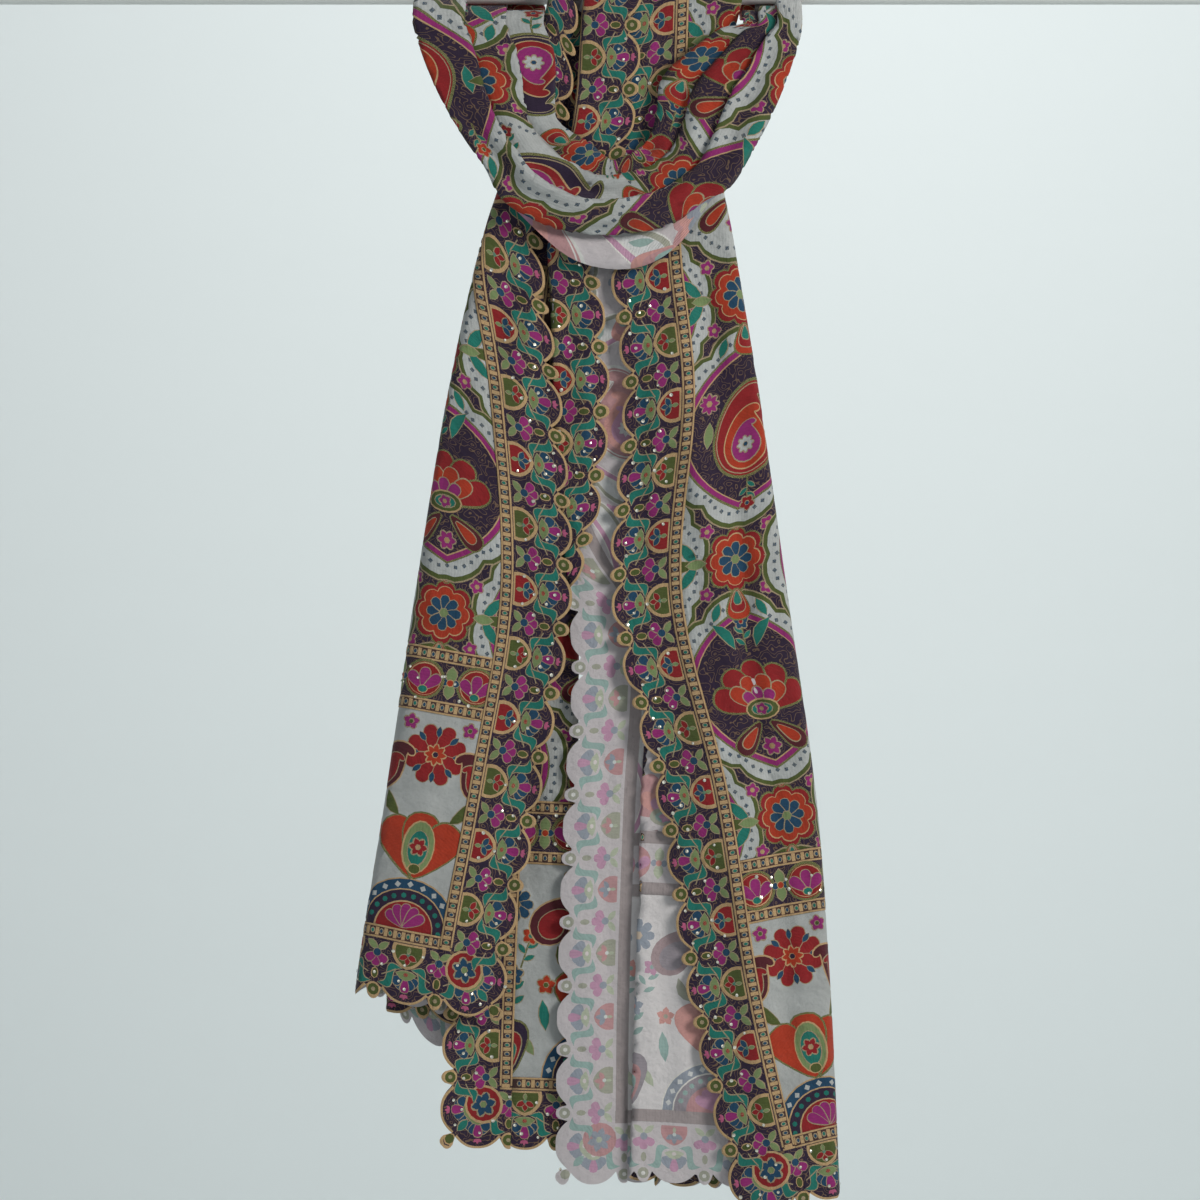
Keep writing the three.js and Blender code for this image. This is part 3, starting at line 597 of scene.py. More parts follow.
def make_piece(name, drape, patch, ground, node_names, spacing=SPACING):
    """A thin piece: an embroidered face and a plainer, paler reverse that meet along the cut.
    """
    face = layer(drape, patch, ground, spacing, False)
    back = layer(drape, patch, ground, spacing + REVERSE_EXTRA, True)
    points, flat, triangles, dyes, stitches = (np.concatenate(pair) for pair in zip(face, back))
    vertices = points * MM
    triangles[len(face[2]):] += len(face[0])
    side = np.concatenate([np.zeros(len(face[2])), np.ones(len(back[2]))])
    mesh = bpy.data.meshes.new(name)
    mesh.vertices.add(len(vertices))
    mesh.vertices.foreach_set("co", vertices.astype(np.float32).ravel())
    mesh.loops.add(3 * len(triangles))
    mesh.loops.foreach_set("vertex_index", triangles.astype(np.int32).ravel())
    mesh.polygons.add(len(triangles))
    mesh.polygons.foreach_set("loop_start", np.arange(0, 3 * len(triangles), 3, dtype=np.int32))
    mesh.update(calc_edges=True)
    mesh.validate()
    colour = np.ones((3 * len(triangles), 4), np.float32)
    colour[:, :3] = np.repeat(dyes, 3, axis=0)
    mesh.color_attributes.new("dye", "FLOAT_COLOR", "CORNER")
    mesh.attributes["dye"].data.foreach_set("color", colour.ravel())
    values = np.zeros((3 * len(triangles), 3), np.float32)
    values[:, :2] = np.repeat(stitches, 3, axis=0)
    values[:, 2] = np.repeat(side, 3)
    mesh.attributes.new("stitch", "FLOAT_VECTOR", "CORNER")
    mesh.attributes["stitch"].data.foreach_set("vector", values.ravel())
    uv = mesh.uv_layers.new(name="flat")
    uv.data.foreach_set("uv", (flat[triangles.ravel()] * UV_SCALE).astype(np.float32).ravel())
    mesh.shade_smooth()
    piece = bpy.data.objects.new(name, mesh)
    bpy.context.scene.collection.objects.link(piece)
    piece.data.materials.append(embroidery)
    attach(piece, "root")
    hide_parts(*node_names)


# ---------------------------------------------------------------- stitched shapes

def ellipse(at, rx, ry, angle=0.0, count=10):
    turn = np.arange(count) * 2 * math.pi / count
    return place(np.stack([rx * np.cos(turn), ry * np.sin(turn)], 1), at, angle)


def place(points, at, angle=0.0, scale=1.0):
    """Points turned by an angle in degrees, scaled and moved."""
    c, s = math.cos(math.radians(angle)), math.sin(math.radians(angle))
    points = np.asarray(points, float) * scale
    return np.stack([points[:, 0] * c - points[:, 1] * s + at[0],
                     points[:, 0] * s + points[:, 1] * c + at[1]], 1)


def blade(at, length, middle, half, angle):
    """An outline from its middle line and its half width, both at even steps along it."""
    along_it = np.linspace(0, 1, len(middle)) * length
    upper = np.stack([along_it, middle + half], 1)
    lower = np.stack([along_it, middle - half], 1)[1:-1][::-1]
    return place(np.concatenate([upper, lower]), at, angle)


def leaf(at, length, width, angle=0.0, bend=0.0, count=5):
    """A pointed leaf that starts at a place and runs along an angle."""
    arch = np.sin(math.pi * np.linspace(0, 1, count))
    return blade(at, length, bend * arch, width / 2 * arch ** 0.8, angle)


def petal(at, length, width, angle=0.0):
    """A rounded petal, broad at its far end."""
    outline = [(0, -0.10), (0.45, -0.40), (0.75, -0.5), (0.95, -0.34), (1, 0),
               (0.95, 0.34), (0.75, 0.5), (0.45, 0.40), (0, 0.10)]
    points = [(x * length, y * width) for x, y in outline]
    return place(rounded(points) if length > 17 else points, at, angle)


def s_leaf(at, length, width, angle=0.0, flip=1):
    """A leaf that swings out and back."""
    f = np.linspace(0, 1, 11)
    middle = flip * 0.20 * length * np.sin(2 * math.pi * f)
    half = width / 2 * np.sin(math.pi * np.clip(f, 0.01, 0.99)) ** 0.85
    return blade(at, length, middle, half, angle)


def grown(polygon, by):
    """The polygon with its outline moved outward."""
    polygon = anticlockwise(polygon)
    before, after = np.roll(polygon, 1, axis=0), np.roll(polygon, -1, axis=0)
    along_it = after - before
    along_it /= np.maximum(np.linalg.norm(along_it, axis=1, keepdims=True), 1e-6)
    return polygon + by * np.stack([along_it[:, 1], -along_it[:, 0]], 1)


def sideways(points):
    """A unit normal at each point of a line, to its left."""
    heading = np.gradient(points, axis=0)
    heading /= np.maximum(np.linalg.norm(heading, axis=1, keepdims=True), 1e-6)
    return np.stack([-heading[:, 1], heading[:, 0]], 1)


# Handwork is this far off its drawn place at most, and small flowers are drawn more plainly.
HAND_SHIFT = 0.22
SMALL_FLOWER = 12


class Chart:
    """Draws motifs onto a patch through a placement of local places."""

    def __init__(self, patch, random, mapping=lambda points: points):
        self.patch, self.mapping, self.random = patch, mapping, random

    def fill(self, polygon, dye, kind=SATIN, angle=0.0, lift=0.25):
        shift = self.random.uniform(-HAND_SHIFT, HAND_SHIFT, 2)
        mapped = self.mapping(np.asarray(polygon, float)) + shift
        low, high = self.patch.low, self.patch.high
        if (mapped.max(axis=0) > low).all() and (mapped.min(axis=0) < high).all():
            self.patch.add(mapped, dye, kind, angle, lift)

    def outlined(self, polygon, dye, edge="beige", width=0.9, angle=0.0):
        self.fill(grown(polygon, width), edge, ZARI, angle, 0.3)
        self.fill(polygon, dye, SATIN, angle, 0.22)

    def petals(self, at, length, width, angles, dye, edge, rim, stitch=None):
        """Petals from one place, stitched along their own angles or all along one."""
        for angle in angles:
            self.outlined(petal(at, length, width, angle), dye, edge, rim,
                          angle if stitch is None else stitch)

    def line(self, points, width, dye):
        """A stitched line of even width."""
        points = np.asarray(points, float)
        side = sideways(points) * width / 2
        self.fill(np.concatenate([points + side, (points - side)[::-1]]), dye, ZARI, 0, 0.3)

    def flower(self, at, radius, petals, dye, heart, turn=0.0, edge="beige"):
        small = radius < SMALL_FLOWER
        if small:
            self.fill(scalloped(at, radius + 0.6, petals, radius * 0.3, turn + 180 / petals, 1, 4),
                      edge, ZARI, 0, 0.3)
        for k in range(petals):
            angle = turn + 360 * k / petals
            width = radius * 3.6 / petals + 1
            if small:
                self.fill(leaf(at, radius, width * 0.9, angle, 0, 4), dye, SATIN, angle, 0.22)
            else:
                self.outlined(petal(at, radius, width, angle), dye, edge, 0.7, angle)
        self.outlined(ellipse(at, radius * 0.26, radius * 0.26, 0, 6), heart, edge, 0.6)


# ---------------------------------------------------------------- the border's repeat

# Rungs of the ladder to each pair of lobes, and the middles of the small and the broad lobe.
RUNGS = 7
SMALL_LOBE, BROAD_LOBE = 0.125, 0.625
CORD_INSIDE, CORD_OUTSIDE = 2.2, 0.3


def bar(low, high, bottom, top):
    return [(low, bottom), (high, bottom), (high, top), (low, top)]


def border_trim(chart, low, high):
    """The ladder along the inner side of a border, from one place along it to another."""
    chart.fill(bar(low, high, 53, 63.9), "umber", SATIN, 0, 0.1)
    for edge in (53.6, 63.2):
        chart.fill(bar(low, high, edge - 0.8, edge + 0.8), "beige", ZARI, 0, 0.35)
    pitch = SCALLOP_PITCH / RUNGS
    for k in range(int(math.ceil(low / pitch)), int(high / pitch)):
        at = k * pitch
        eye = (at + pitch / 2, 58.4)
        chart.fill(bar(at - 1.6, at + 1.6, 55, 61.8), "beige", ZARI, 90, 0.3)
        chart.fill(ellipse(eye, 2.1, 2.6, 0, 8), "zari", ZARI, 0, 0.4)
        chart.fill(ellipse(eye, 1.3, 1.8, 0, 6), ("petrol", "teal")[k % 2], SATIN, 0, 0.4)


def border_shield(chart, at, dye):
    """The shield on the trim, over the broad lobe, with three petals in it."""
    right = [(14, 0), (14.8, -4), (14.4, -9), (12.4, -13.5), (9, -17.5), (4.8, -20.5)]
    left = [(-x, y) for x, y in right]
    shape = left[:1] + right + [(0, -22)] + left[:0:-1]
    chart.fill(place(shape, (at, 52)), "beige", ZARI, 0, 0.35)
    chart.fill(place(shape, (at, 50.6), 0, 0.80), dye, SATIN, 90, 0.2)
    petals = "petrol" if dye == "crimson" else "crimson"
    for angle in (-90, -28, 208):
        chart.outlined(leaf((at, 42.5), 8.5, 4.6, angle), petals, "zari", 0.6, angle)
    chart.fill(ellipse((at, 43), 1.8, 1.8, 0, 6), "teal", BEAD, 0, 0.4)
    chart.outlined(leaf((at, 44), 5.5, 3, 90), "sage", "zari", 0.5, 90)


def border_lobe(chart, at):
    """The broad lobe: a sage fan, petrol petals round it and a small flower at the tip."""
    chart.petals((at, 24), 12.5, 8.5, (-150, -118, -62, -30), "petrol", "zari", 0.7)
    chart.petals((at, 23), 13, 8, (-90,), "magenta", "zari", 0.7)
    chart.outlined(leaf((at - 9, 26.5), 18, 8, 0, -1.5), "sage", "zari", 0.7, 90)
    chart.fill(ellipse((at, 25.5), 2.2, 1.8, 0, 6), "crimson", BEAD, 0, 0.4)
    for angle in (-40, -90, -140):
        chart.fill(leaf((at, 8.5), 4.6, 2.6, angle), "rose", SATIN, angle, 0.4)


def border_flower(chart, at):
    """Between two shields: leaves, petals, a bead and the small round lobe with its S leaves."""
    for flip in (-1, 1):
        angle = 90 - flip * 54
        shape = s_leaf((at + flip * 3.2, 15.5), 25, 8.6, angle, -flip)
        chart.outlined(shape, "teal", "zari", 0.8, angle)
        stem = [(at + flip * off, up) for off, up in ((6, 22.5), (12, 25.5), (18, 29))]
        chart.line(stem, 1.0, "zari")
        chart.outlined(leaf((at, 43), 11.5, 5.4, 90 - flip * 52), "sage", "zari", 0.7, 90)
    chart.petals((at, 40), 11.5, 7.6, (-90, -38, 218), "magenta", "zari", 0.7)
    chart.outlined(ellipse((at, 40.5), 3.4, 3.4, 0, 8), "petrol", "zari", 0.6)
    chart.outlined(ellipse((at, 22.5), 2.6, 4.3, 0, 8), "olive", "beige", 0.8)
    chart.fill(ellipse((at, 8.2), 6.6, 6.6, 0, 12), "beige", ZARI, 0, 0.35)
    chart.fill(ellipse((at, 8.2), 5, 5, 0, 10), "olive", SATIN, 0, 0.3)
    chart.fill(ellipse((at, 8.2), 2, 2, 0, 6), "zari", BEAD, 0, 0.5)


def border_cord(chart, k, pitch):
    """The corded edge of a small and a broad lobe."""
    for start, end, count in ((0, 0.25, 9), (0.25, 1, 17)):
        a = np.linspace(k + start, k + end, count) * pitch
        depths = scallop(a - np.where(np.arange(count) == count - 1, 1e-6, 0), pitch)
        edge = np.stack([a, depths], 1)
        side = sideways(edge)
        inner, outer = edge + CORD_INSIDE * side, edge - CORD_OUTSIDE * side
        chart.fill(np.concatenate([outer, inner[::-1]]), "beige", ZARI, 0, 0.4)


def border_run(chart, low, high, pitch):
    """The repeat along a border between two places."""
    for k in range(int(low / pitch) - 1, int(high / pitch) + 2):
        if low - pitch < k * pitch < high + pitch:
            border_cord(chart, k, pitch)
        small, broad = (k + SMALL_LOBE) * pitch, (k + BROAD_LOBE) * pitch
        if low - 18 < small < high + 18:
            border_flower(chart, small)
        if low - 16 < broad < high + 16:
            border_lobe(chart, broad)
            border_shield(chart, broad, ("crimson", "olive")[k % 2])
    border_trim(chart, low, high)


# ---------------------------------------------------------------- the field's repeat

CELL_WIDTH, CELL_HEIGHT = 196.0, 226.0
CELL_START = 112.0
# Shares of a cell that its outlines take up: rim, cloud, row of beads and the middle's four.
OGEE_SHARES = [(0.77, 0.80), (0.735, 0.765), (0.665, 0.69),
               (0.60, 0.63), (0.585, 0.61), (0.54, 0.57), (0.53, 0.56)]
BEAD_PITCH = 7.8


def rounded(polygon, rounds=1):
    """The polygon with its corners cut round."""
    polygon = np.asarray(polygon, float)
    for _ in range(rounds):
        ahead = np.roll(polygon, -1, axis=0)
        polygon = np.stack([polygon * 0.75 + ahead * 0.25, polygon * 0.25 + ahead * 0.75], 1)
        polygon = polygon.reshape(-1, 2)
    return polygon


def paisley(at, length, angle=0.0, flip=1):
    """A teardrop whose tip curls over."""
    outline = [(0.12, 0.0), (0.27, -0.24), (0.35, -0.47), (0.27, -0.72), (0.02, -0.87),
               (-0.25, -0.77), (-0.36, -0.52), (-0.31, -0.26), (-0.17, -0.03), (0.0, 0.10),
               (0.18, 0.12), (0.26, 0.05), (0.20, -0.01)]
    points = [(x * length * flip, (y + 0.36) * length) for x, y in outline]
    return place(rounded(points, 2 if length > 50 else 1), at, angle)


def scalloped(at, radius, lobes, depth, turn=0.0, squash=1.0, each=6):
    """A round outline with rounded lobes."""
    count = lobes * each
    a = np.arange(count) * 2 * math.pi / count
    r = radius - depth * (1 - np.abs(np.sin(a * lobes / 2)) ** 0.7)
    return place(np.stack([r * np.cos(a), r * squash * np.sin(a)], 1), at, turn)


def polar(at, radius, degrees, rise=None):
    """A place on a circle round another place, or on an ellipse where its rise is given."""
    a = math.radians(degrees)
    rise = radius if rise is None else rise
    return at[0] + radius * math.cos(a), at[1] + rise * math.sin(a)


def sprig(chart, at, angle, length, dye, heart):
    """A stem with leaves to both sides and a flower at its end."""
    stem = [polar(at, length * f, angle) for f in np.linspace(0, 1, 4)]
    chart.line(stem, 1.6, "olive")
    for f, turn in ((0.25, 52), (0.45, -52), (0.62, 50)):
        shape = leaf(polar(at, length * f, angle), length * 0.36, length * 0.15, angle + turn)
        chart.outlined(shape, "teal", "zari", 0.6, angle + turn)
    chart.flower(stem[-1], length * 0.27, 5, dye, heart, angle, "zari")


def measured(polygon):
    """A polygon as a closed line, with the length along it of each of its points."""
    closed = np.concatenate([polygon, polygon[:1]])
    return closed, along_line(closed)


def bead_row(chart, polygon, step, dye):
    """Round stitches along a closed line."""
    closed, marks = measured(polygon)
    for k in range(int(marks[-1] / step)):
        spot = [np.interp(k * step, marks, closed[:, axis]) for axis in range(2)]
        chart.fill(ellipse(spot, 2.2, 2.2, 45 * (k % 2), 4), dye, BEAD, 0, 0.4)


def ogee(at, width, height, each=10):
    """A pointed oval outline, wide in the middle."""
    f = np.linspace(0, 1, each, endpoint=False)
    quarter = np.stack([width / 2 * np.sin(f * math.pi / 2) ** 1.08,
                        height / 2 * (0.84 * np.cos(f * math.pi / 2) + 0.16 * (1 - f) ** 3)], 1)
    side = np.array([[width / 2, 0]])
    right = np.concatenate([quarter, side, quarter[:0:-1] * [1, -1]])
    return np.concatenate([right, -right]) + np.asarray(at)


def clouded(polygon, centre, lobes=12, depth=0.07):
    """The outline pulled in at even places, as rounded cloud lobes."""
    closed, marks = measured(polygon)
    f = np.linspace(0, 1, lobes * 5, endpoint=False)
    points = np.stack([np.interp(f * marks[-1], marks, closed[:, k]) for k in range(2)], 1)
    pull = 1 - depth * (1 - np.abs(np.sin(math.pi * lobes * f)) ** 0.6)
    return np.asarray(centre) + (points - np.asarray(centre)) * pull[:, None]


def fan_motif(chart, at, scale):
    """Rings of petals over a dome, as a half-open flower."""
    for length, width, angles, dye, edge, rim in (
            (52, 26, (22, 56, 90, 124, 158), "crimson", "olive", 1.8),
            (37, 17, (40, 73, 107, 140), "orange", "zari", 1),
            (24, 12, (50, 90, 130), "magenta", "zari", 0.9)):
        chart.petals(at, length * scale, width * scale, angles, dye, edge, rim)
    chart.outlined(ellipse(at, 17 * scale, 10 * scale, 0, 14), "olive", "beige", 1.4)
    chart.outlined(ellipse(at, 11 * scale, 6 * scale, 0, 12), "teal", "zari", 0.9)
    chart.flower(at, 5.5 * scale + 1, 5, "magenta", "beige", 0, "zari")


def paisley_motif(chart, at, scale, colours, angle, flip):
    """A large paisley with smaller ones inside it and a sprig."""
    first, second, third = colours
    chart.outlined(paisley(at, 96 * scale, angle, flip), first, "olive", 2.6, 90)
    chart.outlined(paisley(at, 90 * scale, angle, flip), first, "zari", 0.9, 90)
    middle, small, heart = place([(-flip, -8), (-1.5 * flip, -12), (-2 * flip, -15)],
                                 at, angle, scale)
    chart.outlined(paisley(middle, 64 * scale, angle, flip), second, "beige", 1.1, 60)
    chart.outlined(paisley(small, 42 * scale, angle, flip), third, "zari", 0.9, 90)
    chart.flower(heart, 8.5 * scale, 8, "ivory", "petrol", 10, "zari")


def field_cell(chart, at, kind):
    """One cell: clouded ivory with a row of dots round a purple or ivory middle and a motif."""
    x, y = at
    flip = 1 if kind % 2 else -1
    dark = kind % 3 != 1
    rim, cloud, row, *middle = (ogee(at, CELL_WIDTH * across, CELL_HEIGHT * up)
                                for across, up in OGEE_SHARES)
    chart.outlined(clouded(rim, at), "olive", "zari", 1.2)
    chart.fill(clouded(cloud, at), "ivory", SATIN)
    bead_row(chart, clouded(row, at), BEAD_PITCH, "petrol")
    if dark:
        for shape, dye, stitch in zip(middle, ("olive", "magenta", "beige", "purple"),
                                      (ZARI, SATIN, ZARI, GROUND)):
            chart.fill(shape, dye, stitch)
    if kind % 2:
        colours = ("crimson", "orange", "magenta") if dark else ("purple", "crimson", "magenta")
        paisley_motif(chart, (x, y - 2), 0.86, colours, 8 * flip, flip)
        sprig(chart, (x + 5 * flip, y - 42), 262 + 14 * flip, 24, "crimson", "petrol")
        chart.flower((x - 35 * flip, y + 24), 9, 8, "magenta", "beige", 0, "zari")
        sprig(chart, (x + 26 * flip, y + 34), 98, 22, "orange", "olive")
        chart.outlined(leaf((x - 34 * flip, y + 8), 22, 8, 268), "sage", "zari", 0.7, 90)
        chart.outlined(leaf((x + 38 * flip, y + 10), 24, 8, 272), "teal", "zari", 0.7, 90)
    else:
        fan_motif(chart, (x, y - 18), 0.82)
        for side in (-1, 1):
            down = (270 + side * 46,)
            chart.petals((x + side * 5, y - 30), 34, 17, down, "wine", "olive", 1.5, 90)
            chart.petals((x + side * 9, y - 34), 22, 9, down, "orange", "zari", 0.8, 90)
            chart.outlined(leaf((x + side * 10, y + 36), 28, 9, 90 - side * 34, side * 3), "teal",
                           "zari", 0.7, 90)
        sprig(chart, (x, y + 32), 90, 27, "petrol", "crimson")
        chart.flower((x, y - 51), 8.5, 6, "magenta", "beige", 0, "zari")


def field_ground(chart, at):
    """Between four cells: a rosette, buds and arches on purple."""
    x, y = at
    chart.outlined(scalloped(at, 27, 8, 5, 22.5), "crimson", "olive", 1.6)
    chart.outlined(scalloped(at, 22, 8, 4, 22.5), "orange", "beige", 0.9)
    chart.flower(at, 15, 8, "petrol", "sage", 0, "zari")
    for side in (-1, 1):
        for turn, dye in ((-52, "teal"), (0, "olive"), (52, "teal")):
            stem = leaf((x + side * 34, y), 26, 9, 90 - 90 * side + turn)
            chart.outlined(stem, dye, "zari", 0.7, turn)
        for off, length, width, dye, edge, rim in ((26, 26, 22, "orange", "olive", 1.4),
                                                   (27, 19, 14, "crimson", "zari", 0.9),
                                                   (28, 11, 7, "teal", "zari", 0.8)):
            chart.petals((x, y + side * off), length, width, (90 * side,), dye, edge, rim, 90)
        chart.outlined(leaf((x + side * 26, y), 18, 8, 90 - 90 * side), "sage", "zari", 0.8, 0)
        for rise in (-1, 1):
            chart.flower((x + side * 27, y + rise * 27), 6.5, 5, "magenta", "beige", 0, "zari")
            shape = leaf((x + side * 17, y + rise * 36), 17, 7, 90 * rise - side * rise * 24)
            chart.outlined(shape, "teal", "zari", 0.7, 90)


def field_chart(patch, random, phase=0.0):
    """The field's repeat over a patch, as cells in half drop on a purple ground."""
    chart = Chart(patch, random)
    columns = int(math.ceil(patch.high[0] / (CELL_WIDTH / 2))) + 1
    rows = int(math.ceil(patch.high[1] / CELL_HEIGHT)) + 1
    for column in range(-2, columns + 1):
        drop = CELL_HEIGHT / 2 if column % 2 else 0
        for row in range(-1, rows + 1):
            at = (CELL_START + column * CELL_WIDTH / 2, row * CELL_HEIGHT + drop + phase)
            field_cell(chart, at, column + row)
            field_ground(chart, (at[0], at[1] + CELL_HEIGHT / 2))
    return patch


# Along the cross band's discs and the end panel's domes, and where the ladder's outside lies.
DISC_PITCH, DISC_START = 46, 28
DOME_PITCH, DOME_START = 148.0, 98
TRIM_TOP = 64.2


def cross_band_chart(patch, random):
    """Discs with fans in a row between two ladders."""
    chart = Chart(patch, random)
    low, high = patch.low, patch.high
    middle = (low[1] + high[1]) / 2
    for edge, flip in ((low[1], 1), (high[1], -1)):
        def on_edge(points, edge=edge, flip=flip):
            return np.stack([points[:, 0], edge + flip * (TRIM_TOP - points[:, 1])], 1)

        border_trim(Chart(patch, random, on_edge), low[0], high[0])
    for k in range(int(low[0] / DISC_PITCH) - 1, int(high[0] / DISC_PITCH) + 2):
        at = (k * DISC_PITCH + DISC_START, middle)
        chart.outlined(ellipse(at, 15.5, 15, 0, 18), "crimson", "olive", 2.4)
        chart.outlined(ellipse(at, 14, 13.5, 0, 18), "crimson", "beige", 0.8)
        foot = (at[0], middle - 9)
        chart.petals(foot, 19, 9.5, (44, 90, 136), "magenta", "zari", 0.7, 90)
        chart.outlined(ellipse(foot, 4, 3, 0, 8), "teal", "beige", 0.7)
        between = (at[0] + DISC_PITCH / 2, middle)
        for flip in (-1, 1):
            chart.outlined(leaf(between, 14, 9, 90 * flip), "sage", "zari", 0.8, 90)
            shape = leaf((between[0] + 1.5 * flip, middle), 6.5, 6, 90 - 90 * flip)
            chart.outlined(shape, "petrol", "zari", 0.6, 0)
        chart.outlined(ellipse(between, 2.8, 2.8, 0, 8), "orange", "beige", 0.7)
    return patch


def end_panel_chart(patch, random):
    """Domes with arched flowers on them, round flowers and paisleys on ivory."""
    chart = Chart(patch, random)
    base = patch.low[1]
    for k in range(-1, int(patch.high[0] / DOME_PITCH) + 2):
        x = k * DOME_PITCH + DOME_START
        for radius, dye in ((46, "petrol"), (36, "purple"), (25, "crimson")):
            chart.outlined(ellipse((x, base), radius, radius * 0.95, 0, 28), dye, "beige", 1.2)
        for a in range(10, 180, 16):
            outer, inner = polar((x, base), 41, a, 39), polar((x, base), 31, a + 8, 29.5)
            chart.fill(ellipse(outer, 2.8, 2.8, a, 4), "ivory", SATIN, a, 0.3)
            chart.fill(ellipse(inner, 2.4, 2.4, a, 6), "teal", SATIN, a, 0.3)
        chart.petals((x, base + 2), 20, 9, (34, 62, 90, 118, 146), "magenta", "zari", 0.7, 90)
        chart.petals((x, base + 46), 56, 32, (58, 90, 122), "orange", "olive", 1.6)
        chart.outlined(ellipse((x, base + 72), 13, 22, 0, 18), "sage", "beige", 1.3)
        chart.outlined(ellipse((x, base + 71), 8.6, 15, 0, 16), "teal", "zari", 0.9)
        chart.flower((x, base + 72), 8, 6, "crimson", "beige", 0, "zari")
        chart.outlined(ellipse((x, base + 53), 5, 4, 0, 10), "olive", "beige", 0.8)
        chart.flower((x, base + 153), 27, 8, "crimson", "petrol", 22.5, "zari")
        for a in range(0, 360, 45):
            spot = polar((x, base + 153), 15, a)
            chart.outlined(leaf(spot, 9.5, 4.6, a), "petrol", "zari", 0.5, a)
        chart.flower((x, base + 153), 9.5, 8, "orange", "purple", 0, "beige")
        side = x + DOME_PITCH / 2
        for flip in (-1, 1):
            large, small = (paisley((x + flip * 40, base + up), length, flip * 34, -flip)
                            for up, length in ((140, 50), (137, 32)))
            chart.outlined(large, "wine", "beige", 1.3, 60)
            chart.outlined(small, ("purple", "crimson")[(k + flip) % 2], "zari", 0.9, 90)
            shape = leaf((x + flip * 22, base + 96), 25, 9, 90 - flip * 34, -flip * 3)
            chart.outlined(shape, "olive", "zari", 0.7, 90)
            for off, up, length, width, lean, dye in ((44, 42, 27, 9, 8, "teal"),
                                                      (54, 20, 22, 8, 34, "sage")):
                shape = leaf((x + flip * off, base + up), length, width, 90 - flip * lean)
                chart.outlined(shape, dye, "zari", 0.7)
            chart.flower((x + flip * 45, base + 82), 8.5, 5, "orange", "olive", 20, "zari")
            chart.flower((x + flip * 26, base + 178), 7, 5, "magenta", "olive", 20, "zari")
            sprig(chart, (side + flip * 6, base + 96), 90 - flip * 16, 30,
                  ("magenta", "orange")[(k + flip) % 2], "teal")
        for up, length, width, dye, edge, rim in ((4, 46, 30, "purple", "olive", 1.4),
                                                  (8, 32, 18, "crimson", "zari", 0.9),
                                                  (12, 18, 9, "teal", "zari", 0.7)):
            chart.petals((side, base + up), length, width, (90,), dye, edge, rim)
        sprig(chart, (side, base + 56), 90, 34, "petrol", "orange")
        chart.flower((side, base + 152), 15, 8, "petrol", "beige", 0, "zari")
    return patch


# ---------------------------------------------------------------- materials

# Waves over the flat map, where 1 stands for 100 mm: along the threads, their ends and the weave.
THREAD_WAVES, END_WAVES, WEAVE_WAVES = 780, 240, 900
# Fine metal scrolls on the dark grounds: bands of a noise, their width and how much they show.
SCROLL_SCALE, SCROLL_BANDS, SCROLL_WIDTH, SCROLL_STRENGTH = 9, 9, 0.17, 0.42
# A dye below this brightness is a dark ground. All dyes are deepened and made richer by these.
DARK_DYE, DEEPENING, RICHNESS = 0.2, (0.86, 0.82, 0.82), 1.22
# How far the reverse fades: its threads, how much further its bare ground, and its metal.
PALE_THREAD, PALER_GROUND, PALE_METAL = 0.46, 0.36, 0.75


